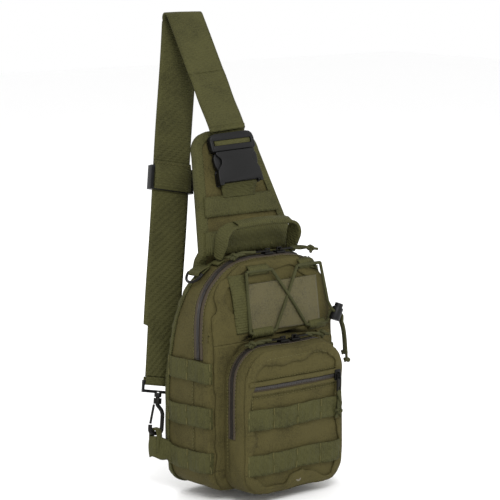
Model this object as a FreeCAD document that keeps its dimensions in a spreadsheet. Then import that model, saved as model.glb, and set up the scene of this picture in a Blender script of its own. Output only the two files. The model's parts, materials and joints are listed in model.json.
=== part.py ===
import FreeCAD, Part
import math
import os
import re
import Sketcher

# Sling bag with a clamshell main compartment, a front pocket, a carrying yoke and one strap.
# X runs across the bag, the front faces -Y, Z is up, and the origin is the middle of its flat base.

SIZES = {
    # bag body
    "body_width": 200, "body_height": 280, "top_radius": 70, "bottom_radius": 28,
    "front_y": 40, "front_top_y": 30, "front_knee": 190,
    "back_y": 46, "back_top_y": 10, "back_knee": 150,
    "fabric": 2.4, "back_thick": 8, "binding_width": 10, "binding_proud": 1.5,
    "zip_y": 19, "zip_half": 7, "zip_gap": 0.3, "zip_end": 163, "flap_line": 180, "flap_gap": 6,
    # pocket
    "pocket_width": 160, "pocket_height": 178, "pocket_radius": 38, "pocket_depth": 40,
    "pocket_zip_y": 58, "pocket_zip_half": 6, "pocket_line": 75, "pocket_gap": 5, "pocket_zip_end": 70,
    "front_zip_height": 12, "front_zip_width": 150, "front_zip_z": 133,
    # webbing
    "band": 25, "webbing": 2, "skin_gap": 0.3, "row_low": 26, "row_pitch": 55, "pocket_row_low": 27,
    # yoke
    "yoke_width": 148, "yoke_top_width": 98, "yoke_length": 154, "yoke_radius": 27, "yoke_thick": 4,
    "yoke_lean": 20.6, "yoke_y": 7,
    # buckle and strap
    "strap_width": 50, "buckle_width": 62, "buckle_thick": 12, "socket_length": 42, "frame_length": 22,
    "buckle_rise": 144, "buckle_y": 45, "buckle_turn": 10, "fit_gap": 0.4, "frame_bar": 4,
    "fold_y": 131, "fold_rise": 285, "fold_radius": 6, "slack": 80,
    "strap_foot_y": 60, "strap_foot_z": 116, "foot_width": 38, "foot_length": 60,
    "glide_width": 60, "glide_height": 30, "glide_z": 364,
    "ring_height": 15, "ring_bar": 3.5, "hook_half": 8, "hook_long": 36, "hook_bar": 5, "gate_bar": 3,
    "hook_stem": 8, "post": 5, "loop_width": 7, "loop_depth": 18, "loop_height": 32,
    # rings, handle and cords
    "dring_width": 26, "dring_bar": 3.4, "dring_x": 80, "dring_y": 6, "dring_lift": 4.2,
    "handle_half": 58, "handle_rise": 48, "handle_lean": 17, "handle_foot": 14, "handle_thick": 3,
    "handle_y": 5, "handle_gap": 6, "elastic": 3.4, "paracord": 4, "lock_width": 14, "lock_length": 22,
    "tab_length": 20, "slider_long": 13, "slider_wide": 9, "slider_thick": 3,
}

V = FreeCAD.Vector
C = Sketcher.Constraint
doc = FreeCAD.newDocument("sling_bag")
sheet = doc.addObject("Spreadsheet::Sheet", "dims")
for row, (alias, number) in enumerate(SIZES.items(), 1):
    sheet.set("A%d" % row, alias)
    sheet.set("B%d" % row, str(number))
    sheet.setAlias("B%d" % row, alias)
doc.recompute()


class Size:
    """Gives Python the same numbers as the spreadsheet's cells."""

    def __getattr__(self, alias):
        return float(SIZES[alias])


size = Size()
parts = []
ties = [0]


def formula(text):
    """Point every size named in an expression at its spreadsheet cell."""
    return re.sub(r"[a-z_]+", lambda word: "dims." + word.group() if word.group() in SIZES else word.group(),
                  str(text))


def part(obj, label, place=None):
    """Name a finished sub-part, and put it in its place."""
    if place is not None:
        if obj.TypeId in ("Part::Box", "Part::Cylinder"):
            obj = group(obj)
        obj.Placement = place
    obj.Label = label
    parts.append(obj)
    return obj


def axes(at, up=(0, 0, 1), across=(1, 0, 0)):
    """A place whose own Z is `up` and whose own X is as near to `across` as it can be."""
    return FreeCAD.Placement(V(*at), FreeCAD.Rotation(V(*across), V(0, 0, 0), V(*up), "ZXY"))


# ---------------------------------------------------------------- primitives bound to the sheet

def box(length, width, height, x, y, z, middle=""):
    """A box with its low corner at x, y, z, or centred along the axes that `middle` names."""
    block = doc.addObject("Part::Box", "Box")
    block.setExpression("Length", formula(length))
    block.setExpression("Width", formula(width))
    block.setExpression("Height", formula(height))
    for axis, at, side in zip("xyz", (x, y, z), (length, width, height)):
        text = "(%s) - (%s) / 2" % (at, side) if axis in middle else str(at)
        block.setExpression("Placement.Base." + axis, formula(text))
    return block


def rod(diameter, length, at, along):
    """A round bar that starts at `at` and runs along the direction `along`."""
    bar = doc.addObject("Part::Cylinder", "Rod")
    bar.setExpression("Radius", formula("(%s) / 2" % diameter))
    bar.setExpression("Height", formula(length))
    bar.Placement = FreeCAD.Placement(V(*at), FreeCAD.Rotation(V(0, 0, 1), V(*along)))
    return bar


def ball(diameter, at):
    knob = doc.addObject("Part::Sphere", "Ball")
    knob.setExpression("Radius", formula("(%s) / 2" % diameter))
    knob.Placement.Base = V(*at)
    return knob


def hoop(radius, bar, at, start, stop, up):
    """Part of a torus from angle `start` to `stop`, about an axis along `up`."""
    ring = doc.addObject("Part::Torus", "Hoop")
    ring.setExpression("Radius1", formula(radius))
    ring.setExpression("Radius2", formula("(%s) / 2" % bar))
    ring.Angle3 = stop - start
    spin = FreeCAD.Rotation(V(0, 0, 1), start)
    ring.Placement = FreeCAD.Placement(V(*at), FreeCAD.Rotation(V(0, 0, 1), V(*up)) * spin)
    return ring


def fuse(*shapes):
    whole = doc.addObject("Part::MultiFuse", "Fuse")
    whole.Shapes = list(shapes)
    return whole


def cut(base, *tools):
    rest = doc.addObject("Part::Cut", "Cut")
    rest.Base = base
    rest.Tool = tools[0] if len(tools) == 1 else fuse(*tools)
    return rest


def group(*shapes):
    """Separate solids that are one node."""
    together = doc.addObject("Part::Compound", "Group")
    together.Links = list(shapes)
    return together


def runs(diameter, points, bend=3.6):
    """A round bar or cord along straight runs, each bend a tangent arc that starts `bend` before its corner."""
    corners = [V(*point) for point in points]
    edges = []
    here = corners[0]
    for before, corner, after in zip(corners, corners[1:], corners[2:]):
        reach = min(bend, 0.45 * (corner - before).Length, 0.45 * (after - corner).Length)
        arrive = corner + (before - corner).normalize() * reach
        leave = corner + (after - corner).normalize() * reach
        inside = ((before - corner).normalize() + (after - corner).normalize()).normalize()
        turn = math.pi - (before - corner).getAngle(after - corner)
        radius = reach / math.tan(turn / 2)
        middle = corner + inside * (radius / math.cos(turn / 2) - radius)
        edges.append(Part.LineSegment(here, arrive).toShape())
        edges.append(Part.Arc(arrive, middle, leave).toShape())
        here = leave
    edges.append(Part.LineSegment(here, corners[-1]).toShape())
    path = Part.Wire(edges)
    section = Part.Wire([Part.Circle(corners[0], corners[1] - corners[0], size_of(diameter) / 2).toShape()])
    tube = doc.addObject("Part::Feature", "Cord")
    tube.Shape = path.makePipeShell([section], True, False)
    return tube


def size_of(diameter):
    """A named size, or a plain number of millimetres."""
    return float(SIZES.get(diameter, 0)) or float(diameter)


# ---------------------------------------------------------------- sketches and shells

def sketch_on(body, role, offset="0"):
    sketch = body.newObject("Sketcher::SketchObject", "Sketch")
    sketch.AttachmentSupport = [(next(o for o in body.Origin.OriginFeatures if o.Role == role), "")]
    sketch.MapMode = "FlatFace"
    sketch.setExpression("AttachmentOffset.Base.z", formula(offset))
    return sketch


def tie(sketch, constraint, text):
    """Add a sketch dimension and bind it to an expression."""
    ties[0] += 1
    name = "size%d" % ties[0]
    sketch.renameConstraint(sketch.addConstraint(constraint), name)
    sketch.setExpression("Constraints." + name, formula(text))


def arch(sketch, width, height, top, bottom, base):
    """An outline with two large corners at the top and two small ones at the bottom."""
    first = sketch.GeometryCount
    half, tall, big, small = size.body_width / 2, size.body_height, size.top_radius, size.bottom_radius
    line = Part.LineSegment
    turn = math.pi / 2

    def corner(x, z, radius, quarter):
        circle = Part.Circle(V(x, z, 0), V(0, 0, 1), radius)
        return Part.ArcOfCircle(circle, quarter * turn, (quarter + 1) * turn)

    sketch.addGeometry([
        line(V(small - half, 1, 0), V(half - small, 1, 0)),
        corner(half - small, small + 1, small, -1),
        line(V(half, small + 1, 0), V(half, tall - big, 0)),
        corner(half - big, tall - big, big, 0),
        line(V(half - big, tall, 0), V(big - half, tall, 0)),
        corner(big - half, tall - big, big, 1),
        line(V(-half, tall - big, 0), V(-half, small + 1, 0)),
        corner(small - half, small + 1, small, 2)], False)
    sketch.addConstraint([C("Tangent", first + i, 2, first + (i + 1) % 8, 1) for i in range(8)])
    sketch.addConstraint([
        C("Horizontal", first + 4), C("Vertical", first + 2), C("Vertical", first + 6),
        C("Equal", first + 3, first + 5), C("Equal", first + 1, first + 7),
        C("Symmetric", first, 1, first, 2, -2)])
    tie(sketch, C("DistanceX", first + 6, 2, first + 2, 1, 2 * half), width)
    tie(sketch, C("DistanceY", -1, 1, first, 1, 1), base)
    tie(sketch, C("DistanceY", first, 1, first + 4, 1, tall - 1), height)
    tie(sketch, C("Radius", first + 3, big), top)
    tie(sketch, C("Radius", first + 1, small), bottom)


def inset(outline, depth):
    """The arch outline `depth` inside another."""
    width, height, top, bottom, base = outline
    return (width + " - 2 * (%s)" % depth, height + " - 2 * (%s)" % depth, top + " - (%s)" % depth,
            bottom + " - (%s)" % depth, base + " + (%s)" % depth)


def polygon(sketch, points):
    """A closed outline of straight sides through points given as expressions."""
    first = sketch.GeometryCount
    count = len(points)
    angles = [2 * math.pi * i / count for i in range(count)]
    rough = [V(60 * math.cos(angle), 100 + 60 * math.sin(angle), 0) for angle in angles]
    sketch.addGeometry([Part.LineSegment(rough[i], rough[(i + 1) % count]) for i in range(count)], False)
    sketch.addConstraint([C("Coincident", first + i, 2, first + (i + 1) % count, 1) for i in range(count)])
    for i, (across, up) in enumerate(points):
        tie(sketch, C("DistanceX", -1, 1, first + i, 1, rough[i].x), across)
        tie(sketch, C("DistanceY", -1, 1, first + i, 1, rough[i].y), up)


BODY = ("body_width", "body_height", "top_radius", "bottom_radius", "0")
POCKET = ("pocket_width", "pocket_height", "pocket_radius", "bottom_radius", "0")
BEYOND = "60"


def shell(label, outline, wall, back, front, profile):
    """An arch-shaped wall or plate between two depths, trimmed to a side-view profile.

    `wall` is the wall's thickness, or None for a solid plate. `back` and `front` are depths in Y.
    """
    body = doc.addObject("PartDesign::Body", label)
    sketch = sketch_on(body, "XZ_Plane", "-(%s)" % back)
    arch(sketch, *outline)
    if wall:
        arch(sketch, *inset(outline, wall))
    pad = body.newObject("PartDesign::Pad", "Pad")
    pad.Profile = sketch
    pad.setExpression("Length", formula("(%s) - (%s)" % (back, front)))
    trim = sketch_on(body, "YZ_Plane")
    low, high = "(%s) - %s" % (front, BEYOND), "(%s) + %s" % (back, BEYOND)
    roof = "%s + 2 * %s" % (outline[1], BEYOND)
    polygon(trim, [(low, "-" + BEYOND), (high, "-" + BEYOND), (high, roof), (low, roof)])
    polygon(trim, profile)
    pocket = body.newObject("PartDesign::Pocket", "Trim")
    pocket.Profile = trim
    pocket.Type = "ThroughAll"
    pocket.Midplane = True
    return part(body, label)


def back_line(inward, low="-10"):
    """Points up the back of the bag, `inward` from its outer face."""
    slope = "(back_y - back_top_y) / (body_height - back_knee)"
    top = "back_top_y - (%s) - 10 * %s" % (inward, slope)
    return [("back_y - (%s)" % inward, low), ("back_y - (%s)" % inward, "back_knee"), (top, "body_height + 10")]


def front_line(inward, low):
    """Points down the front of the bag, `inward` from its outer face."""
    slope = "(front_y - front_top_y) / (body_height - front_knee)"
    top = "(%s) - front_top_y + 10 * %s" % (inward, slope)
    return [(top, "body_height + 10"), ("(%s) - front_y" % inward, "front_knee"), ("(%s) - front_y" % inward, low)]


# ---------------------------------------------------------------- bag body

def bag_back():
    shell("back_panel", inset(BODY, "fabric"), None, "back_y", "back_top_y - 20",
          back_line("0") + back_line("back_thick")[::-1])
    shell("edge_binding",
          ("body_width + 2 * binding_proud", "body_height + 2 * binding_proud", "top_radius + binding_proud",
           "bottom_radius + binding_proud", "-binding_proud"),
          "binding_proud", "back_y", "back_top_y - 20", back_line("0", "4") + back_line("binding_width", "4")[::-1])
    pads = []
    for side in (-1, 1):
        x = "12" if side > 0 else "-12 - 68"
        pads.append(box("68", "4", "back_knee - 30", x, "back_y + skin_gap", "20"))
    part(group(*pads), "back_pads")


def bag_gusset():
    shell("rear_gusset", BODY, "fabric", "back_y", "-zip_y + zip_half",
          back_line("0") + [("zip_half - zip_y", "body_height + 10"), ("zip_half - zip_y", "-10")])
    shell("lower_front_gusset", BODY, "fabric", "-zip_y + zip_half", "-front_y",
          [("zip_half - zip_y", "-10"), ("zip_half - zip_y", "zip_end"), ("-zip_y - zip_gap", "zip_end"),
           ("-zip_y - zip_gap", "flap_line"), ("fabric - front_y", "flap_line"), ("fabric - front_y", "-10")])
    shell("lower_front_panel", BODY, None, "fabric - front_y", "-front_y",
          [("fabric - front_y + 5", "-10"), ("fabric - front_y + 5", "flap_line"),
           ("-front_y - 5", "flap_line"), ("-front_y - 5", "-10")])
    shell("main_zip_rear_tape", inset(BODY, "0.4"), "1.6", "-zip_y + zip_half", "-zip_y",
          [("zip_half - zip_y", "zip_end"), ("zip_half - zip_y", "body_height + 10"),
           ("-zip_y", "body_height + 10"), ("-zip_y", "zip_end")])
    part(box("body_width - 40", "1.5", "back_knee", "0", "back_y - back_thick - 6", "fabric + 6", "x"),
         "inner_divider")


def main_flap():
    bottom = "flap_line + flap_gap"
    shell("flap_panel", BODY, None, "fabric - front_top_y", "-front_y",
          front_line("fabric", bottom) + front_line("0", bottom)[::-1])
    shell("flap_gusset", BODY, "fabric", "-zip_y - zip_half", "-front_y",
          [("-zip_y - zip_half", bottom), ("-zip_y - zip_half", "body_height + 10")] + front_line("fabric", bottom))
    shell("main_zip_front_tape", inset(BODY, "0.4"), "1.6", "-zip_y - zip_gap", "-zip_y - zip_half",
          [("-zip_y - zip_gap", bottom), ("-zip_y - zip_gap", "body_height + 10"),
           ("-zip_y - zip_half", "body_height + 10"), ("-zip_y - zip_half", bottom)])


def fixed_webbing():
    """Three webbing rows across each side of the bag and one across the foot of the pocket."""
    rows = [box("pocket_width - 10", "webbing", "band", "0", "-front_y - pocket_depth - webbing - skin_gap",
                "pocket_row_low", "x")]
    for x in ("body_width / 2 + skin_gap", "-body_width / 2 - skin_gap - webbing"):
        for row in range(3):
            rows.append(box("webbing", "front_y + back_y - binding_width - 4.2", "band", x, "1 - front_y",
                            "row_low + %d * row_pitch" % row))
    part(group(*rows), "fixed_webbing")


# ---------------------------------------------------------------- front pocket

def pocket():
    deep = "-front_y - pocket_depth"
    seam = "-pocket_zip_y + pocket_zip_half"
    shell("pocket_gusset", POCKET, "fabric", "-front_y - skin_gap", deep,
          [("-front_y + 5", "-10"), ("-front_y + 5", "pocket_height + 10"), (seam, "pocket_height + 10"),
           (seam, "pocket_zip_end"), ("-pocket_zip_y - zip_gap", "pocket_zip_end"),
           ("-pocket_zip_y - zip_gap", "pocket_line"), (deep + " + fabric", "pocket_line"),
           (deep + " + fabric", "-10")])
    shell("pocket_lower_front", POCKET, None, deep + " + fabric", deep,
          [(deep + " + 5", "-10"), (deep + " + 5", "pocket_line"), (deep + " - 5", "pocket_line"),
           (deep + " - 5", "-10")])
    shell("pocket_zip_rear_tape", inset(POCKET, "0.4"), "1.6", seam, "-pocket_zip_y",
          [(seam, "pocket_zip_end"), (seam, "pocket_height + 10"), ("-pocket_zip_y", "pocket_height + 10"),
           ("-pocket_zip_y", "pocket_zip_end")])
    eyelet = cut(rod(9, 1.6, (5, -size.front_y - size.pocket_depth - size.skin_gap, 13), (0, -1, 0)),
                 rod(4.4, 4, (5, -size.front_y - size.pocket_depth + 1, 13), (0, -1, 0)))
    part(eyelet, "drain_eyelet")


def pocket_flap():
    deep = "-front_y - pocket_depth"
    bottom = "pocket_line + pocket_gap"
    seam = "-pocket_zip_y - pocket_zip_half"
    shell("pocket_flap_panel", POCKET, None, deep + " + fabric", deep,
          [(deep + " + 5", bottom), (deep + " + 5", "pocket_height + 10"), (deep + " - 5", "pocket_height + 10"),
           (deep + " - 5", bottom)])
    shell("pocket_flap_gusset", POCKET, "fabric", seam, deep,
          [(seam, bottom), (seam, "pocket_height + 10"), (deep + " + fabric", "pocket_height + 10"),
           (deep + " + fabric", bottom)])
    shell("pocket_zip_front_tape", inset(POCKET, "0.4"), "1.6", "-pocket_zip_y - zip_gap", seam,
          [("-pocket_zip_y - zip_gap", bottom), ("-pocket_zip_y - zip_gap", "pocket_height + 10"),
           (seam, "pocket_height + 10"), (seam, bottom)])
    part(box("pocket_width - 4", "webbing", "band", "0", deep + " - webbing - skin_gap",
             "pocket_row_low + row_pitch", "x"), "pocket_webbing_upper")
    part(box("front_zip_width", "1.5", "front_zip_height", "0", deep + " - 1.5 - skin_gap", "front_zip_z", "xz"),
         "front_zip_tape")


# ---------------------------------------------------------------- front of the main flap

def face_y(z):
    """Depth of the flap's outer face at height z."""
    lean = (size.front_y - size.front_top_y) / (size.body_height - size.front_knee)
    return -size.front_y + max(z - size.front_knee, 0) * lean


def flap_front():
    lean = math.degrees(math.atan((size.front_y - size.front_top_y) / (size.body_height - size.front_knee)))
    tilt = (0, math.sin(math.radians(lean)), math.cos(math.radians(lean)))
    field = box("116", "1.5", "58", "-43", "-1.5 - skin_gap", "2")
    part(field, "loop_field", axes((0, face_y(size.front_knee), size.front_knee), tilt))
    tabs = [box("band - 3", "webbing", "70", "-66", "-webbing", "1")]
    for x, width in ((-37, 32), (44, 30)):
        tabs.append(cut(box(width, "elastic + 4", "8", x, "-elastic - 6", "71"),
                        box(width + 2, "elastic + 0.8", "5", x - 1, "-elastic - 4.4", "72.5")))
    for x, width in ((-37, 32), (53, 28)):
        tabs.append(cut(box(width, "elastic + 4", "8", x, "-elastic - 6", "-3"),
                        box(width + 2, "elastic + 0.8", "5", x - 1, "-elastic - 4.4", "-1.5")))
    part(group(*tabs), "front_webbing", axes((0, face_y(size.front_knee), size.front_knee), tilt))


# Where the elastic cord turns, chosen by hand, in the leaning face's own X and Z.
LACE = [(86, 27), (78, 75), (40, 75), (-1, 1), (-41, 1), (-41, 75), (-1, 75), (49, 1), (83, 1)]
TAILS = [[(100, -55, 190), (104, -57, 182), (105, -58, 142)], [(102, -49, 189), (107, -50, 180), (108, -50, 150)]]


def lacing():
    lean = math.degrees(math.atan((size.front_y - size.front_top_y) / (size.body_height - size.front_knee)))
    tilt = (0, math.sin(math.radians(lean)), math.cos(math.radians(lean)))
    depth = -size.elastic / 2 - size.webbing - 2.4
    cord = runs("elastic", [(x, depth, z) for x, z in LACE])
    part(cord, "shock_cord", axes((0, face_y(size.front_knee), size.front_knee), tilt))
    tails = []
    for tail in TAILS:
        tails.append(fuse(runs("elastic", tail), ball("elastic * 2", tail[-1])))
    part(group(*tails), "shock_cord_tails")


def cord_lock():
    """A barrel and a sprung plunger, with a cross hole through both for the two cords."""
    place = axes((93, -52.5, 204), (0.42, 0, 0.91))
    low = -size.lock_length / 2
    bore = box("lock_width + 2", "elastic * 2 + 0.6", "elastic + 0.8", "0", "0", "-1", "xyz")
    well = rod("lock_width - 3", "lock_length", (0, 0, low + 2.5), (0, 0, 1))
    barrel = rod("lock_width", "lock_length - 6", (0, 0, low), (0, 0, 1))
    part(cut(barrel, bore, well), "cord_lock_barrel", place)
    slot = box("lock_width", "elastic * 2 + 0.4", "elastic + 3", "0", "0", "0.9", "xyz")
    plunger = rod("lock_width - 3.6", "lock_length - 7", (0, 0, low + 6.4), (0, 0, 1))
    part(cut(plunger, slot), "cord_lock_button", place)


# ---------------------------------------------------------------- zip sliders and their pulls

def slider(name, at, out, toward, cord):
    """A zip slider with a bridge, its pull tab on a pin through the bridge, and the cord on the tab.

    Its own Z points out of the zip and its own X the way that the tab lies.
    """
    place = axes(at, out, toward)
    low = size.slider_thick
    body = box("slider_long", "slider_wide", "slider_thick", "0", "0", "0.4", "xy")
    posts = [box("1.6", "2", "3.2", x, "0", low + 0.3, "xy") for x in (-3, 3)]
    bridge = box("7.6", "2", "1.4", "0", "0", low + 3.4, "xy")
    part(fuse(body, *posts, bridge), name, place)
    pin = low + 1.95
    arms = [box("7", "1.6", "1.6", "-0.8", y, pin - 0.8, "y") for y in (-2.3, 2.3)]
    plate = cut(box("tab_length - 5", "6", "1.6", "5", "0", pin - 0.8, "y"), rod(2.6, 5, (16, 0, pin - 2), (0, 0, 1)))
    part(fuse(rod(1.5, 5, (0, -2.5, pin), (0, 1, 0)), *arms, plate), name + "_tab", place)
    lead = size.tab_length + size.paracord / 2 + 0.3
    points = [(lead, 0, pin)] + cord
    part(fuse(runs("paracord", points), ball("paracord * 1.9", points[-1])), name + "_cord", place)


def sliders():
    top = size.body_height
    main_y = -size.zip_y
    slider("main_slider_left", (8, main_y, top), (0, 0, 1), (-1, 0, 0),
           [(38, -1, 4.9), (46, 0, 4.4), (56, 2, 3)])
    slider("main_slider_right", (27, main_y, top), (0, 0, 1), (1, 0, 0),
           [(30, -5, 4.6), (38, -7, 4), (46, -8, 2)])
    pocket_top = size.pocket_height
    pocket_y = -size.pocket_zip_y
    slider("pocket_slider_left", (0, pocket_y, pocket_top), (0, 0, 1), (-1, 0, 0),
           [(30, -1, 4), (38, 0, 4), (50, 1, 3)])
    slider("pocket_slider_right", (18, pocket_y, pocket_top), (0, 0, 1), (1, 0, 0),
           [(28, 1, 4), (36, 0, 3.6), (46, -1, 3)])
    front = -size.front_y - size.pocket_depth - 1.8
    slider("front_zip_slider", (66, front, size.front_zip_z), (0, -1, 0), (0, 0, -1),
           [(34, 1, 5.4), (46, 0, 5.0)])


# ---------------------------------------------------------------- yoke

def lean_up():
    angle = math.radians(size.yoke_lean)
    return (0, math.sin(angle), math.cos(angle))


def yoke_point(z):
    """The middle of the yoke at height z."""
    return (0, size.yoke_y + (z - size.body_height) * math.tan(math.radians(size.yoke_lean)), z)


def yoke():
    body = doc.addObject("PartDesign::Body", "yoke_plate")
    sketch = sketch_on(body, "XZ_Plane", "-yoke_thick / 2")
    half, top = size.yoke_width / 2, size.yoke_top_width / 2
    tall, radius = size.yoke_length, size.yoke_radius
    turn = math.pi / 2
    left = Part.ArcOfCircle(Part.Circle(V(radius - top, tall - radius, 0), V(0, 0, 1), radius), turn, 2 * turn)
    right = Part.ArcOfCircle(Part.Circle(V(top - radius, tall - radius, 0), V(0, 0, 1), radius), 0, turn)
    sketch.addGeometry([
        Part.LineSegment(V(-half, 0, 0), V(half, 0, 0)), Part.LineSegment(V(half, 0, 0), V(top, tall - radius, 0)),
        right, Part.LineSegment(V(top - radius, tall, 0), V(radius - top, tall, 0)), left,
        Part.LineSegment(V(-top, tall - radius, 0), V(-half, 0, 0))], False)
    sketch.addConstraint([
        C("Coincident", 0, 2, 1, 1), C("Tangent", 1, 2, 2, 1), C("Tangent", 2, 2, 3, 1), C("Tangent", 3, 2, 4, 1),
        C("Tangent", 4, 2, 5, 1), C("Coincident", 5, 2, 0, 1), C("Equal", 2, 4),
        C("Symmetric", 0, 1, 0, 2, -2), C("Symmetric", 1, 2, 5, 1, -2)])
    tie(sketch, C("DistanceX", 0, 1, 0, 2, 2 * half), "yoke_width")
    tie(sketch, C("DistanceY", -1, 1, 0, 1, 1), "3")
    tie(sketch, C("DistanceY", -1, 1, 3, 1, tall), "yoke_length")
    tie(sketch, C("Radius", 2, radius), "yoke_radius")
    tie(sketch, C("DistanceX", 5, 1, 1, 2, 2 * top), "yoke_top_width")
    pad = body.newObject("PartDesign::Pad", "Pad")
    pad.Profile = sketch
    pad.setExpression("Length", formula("yoke_thick"))
    place = axes(yoke_point(size.body_height), lean_up())
    body.Placement = place
    rows = [box("yoke_width - 8", "webbing", "band", "0", "-yoke_thick / 2 - webbing - skin_gap", "5", "x"),
            box("yoke_width - 34", "webbing", "band", "0", "-yoke_thick / 2 - webbing - skin_gap", "48", "x")]
    part(group(*rows), "yoke_webbing", place)
    lean = (size.back_y - size.back_top_y) / (size.body_height - size.back_knee)
    skirt = group(box("yoke_width - 6", "3", "26", "0", "skin_gap", "-24", "x"))
    skirt.Placement = axes((0, size.back_top_y, size.body_height), (0, -lean, 1))
    part(group(body, skirt), "yoke_panel")


# ---------------------------------------------------------------- buckle

def buckle_place():
    turn = math.radians(size.buckle_turn)
    high = size.body_height + size.buckle_rise
    return axes((0, size.buckle_y, high), lean_up(), (math.cos(turn), -math.sin(turn), 0))


def buckle():
    place = buckle_place()
    socket_top = "-frame_length - 0.4"
    housing = box("buckle_width", "buckle_thick", "socket_length", "0", "0",
                  "-frame_length - 0.4 - socket_length", "xy")
    cavity = box("buckle_width - 8", "buckle_thick - 5", "socket_length - 8", "0", "0",
                 socket_top + " - socket_length + 8", "xy")
    window = box("buckle_width + 2", "buckle_thick - 5", "18", "0", "0", "-52", "xy")
    slot = box("strap_width + 1", "buckle_thick + 2", "3.6", "0", "0", socket_top + " - socket_length + 2.4", "xy")
    part(cut(housing, cavity, window, slot), "buckle_female", place)
    frame = box("buckle_width", "buckle_thick - 2", "frame_length", "0", "0", "-frame_length", "xy")
    eye = box("strap_width + 2", "buckle_thick + 2", "9", "0", "0", "-frame_bar - 9", "xy")
    tongue = box("8", "buckle_thick - 6.2", "30", "0", "0", "-frame_length - 30", "xy")
    part(fuse(cut(frame, eye), tongue), "buckle_male", place)
    for side, name in ((-1, "prong_left"), (1, "prong_right")):
        arm = box("4.5", "buckle_thick - 6.2", "30", 22 * side, "0", "-frame_length - 30.3", "xy")
        head = box("9", "buckle_thick - 6.2", "12", 25.5 * side, "0", "-49", "xy")
        part(fuse(arm, head), name, place)
    sleeve = cut(box("strap_width", "buckle_thick + 3", "frame_bar + 7", "0", "0", "-frame_bar - 4", "xy"),
                 box("strap_width + 2", "buckle_thick - 1.2", "frame_bar + 1.2", "0", "0", "-frame_bar - 0.6", "xy"))
    part(sleeve, "strap_buckle_loop", place)
    anchor = box("strap_width", "webbing", "19.4", "0", "1", "-frame_length - socket_length - 20", "x")
    part(anchor, "buckle_anchor_webbing", place)


# ---------------------------------------------------------------- strap

def strap_lines():
    """The strap's front run start, top fold and lower end, and the way its width points."""
    start = buckle_place().multVec(V(0, 0, 4))
    fold = V(0, size.fold_y, size.body_height + size.fold_rise)
    foot = V(-size.body_width / 2, size.strap_foot_y, size.strap_foot_z)
    turn = math.radians(size.buckle_turn)
    return start, fold, foot, V(math.cos(turn), -math.sin(turn), 0)


def ribbon(sections):
    """A closed band lofted through sections of centre, direction, side, width and thickness."""
    wires = []
    for centre, along, side, width, thick in sections:
        across = side - along * side.dot(along)
        across.normalize()
        out = along.cross(across)
        corners = [centre + across * (width / 2 * i) + out * (thick / 2 * j)
                   for i, j in ((-1, -1), (1, -1), (1, 1), (-1, 1))]
        wires.append(Part.makePolygon(corners + corners[:1]))
    return Part.makeLoft(wires, True, True)


def strap_place(point, along, side):
    return FreeCAD.Placement(point, FreeCAD.Rotation(side, V(0, 0, 0), along, "ZXY"))


def strap():
    start, fold, foot, side = strap_lines()
    rise = (fold - start).normalize()
    fall = (foot - fold).normalize()
    width, thick = size.strap_width, size.webbing
    slack_end = start + rise * size.slack
    slack = doc.addObject("Part::Feature", "slack")
    slack.Shape = ribbon([(start + rise * 3, rise, side, width, thick), (slack_end, rise, side, width, thick)])
    part(slack, "strap_slack_end")
    radius = size.fold_radius
    hinge = side.normalize()
    turn = math.acos(rise.dot(fall))
    outward = (rise - hinge * rise.dot(hinge)).normalize()
    normal = hinge.cross(outward)
    if normal.dot(fall) > 0:
        normal = -normal
    sections = [(slack_end + rise * 0.3, rise, side, width, thick)]
    steps = 8
    for step in range(steps + 1):
        angle = turn * step / steps
        along = outward * math.cos(angle) - normal * math.sin(angle)
        centre = fold + outward * (radius * math.sin(angle)) - normal * (radius * (1 - math.cos(angle)))
        sections.append((centre, along, side, width, thick))
    last = sections[-1][0]
    run = foot - last
    down = V(run).normalize()
    full = run.Length - size.foot_length
    for distance in (8, full):
        sections.append((last + down * distance, down, side, width, thick))
    sections.append((last + down * (full + 3), down, side, size.foot_width, thick * 2))
    sections.append((last + down * (full + size.foot_length - 12), down, side, size.foot_width, thick * 2))
    band = doc.addObject("Part::Feature", "band")
    band.Shape = ribbon(sections)
    return band, last, down, side, run.Length


def strap_foot(band, last, down, side, length):
    """The sleeve round the lower ring, the ring, the swivel hook and the loop that it clips to."""
    place = strap_place(last + down * (length - 6), -down, side)
    bar, gap = size.ring_bar, size.fit_gap
    sleeve = cut(box("foot_width", "ring_bar + 4", "ring_bar + 8", "0", "0", "-ring_bar / 2 - 2", "xy"),
                 box("foot_width + 2", "ring_bar + fit_gap * 2", "ring_bar + fit_gap * 2", "0", "0", "0", "xyz"))
    sleeve.Placement = place
    part(group(band, sleeve), "strap_webbing")
    outer = box("foot_width + 6", "ring_bar", "ring_height", "0", "0", "-ring_height + ring_bar / 2", "xy")
    slot = box("foot_width + 6 - 2 * ring_bar + 2", "ring_bar + 2", "ring_height - 2 * ring_bar", "0", "0",
               "-ring_height + ring_bar * 1.5", "xy")
    boss_top = -size.ring_height + bar / 2
    boss = rod("post + 4", "5", (0, 0, boss_top - 4.6), (0, 0, 1))
    hole = rod("post + fit_gap * 2", "6.6", (0, 0, boss_top - 5), (0, 0, 1))
    part(cut(fuse(cut(outer, slot), boss), hole), "hook_ring", place)
    top = boss_top - 5 - size.hook_stem
    half, low = size.hook_half, top - size.hook_long
    stem = rod("post", "hook_stem + 5.6", (0, 0, top), (0, 0, 1))
    collar = rod("post + 5", "hook_stem - 1", (0, 0, top), (0, 0, 1))
    body = runs("hook_bar", [(0, 0, top + 3), (0, 0, top - 1), (half, 0, top - 9), (half, 0, low), (-half, 0, low),
                             (-half, 0, low + 10)], 6)
    part(fuse(stem, collar, body), "snap_hook", place)
    high = V(-half / 2 - 0.6, 0, top - 1)
    gate = V(-half, 0, low + 11.3) - high
    part(rod("gate_bar", gate.Length, tuple(high), tuple(gate)), "hook_gate", place)
    return place.multVec(V(0, 0, low))


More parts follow.
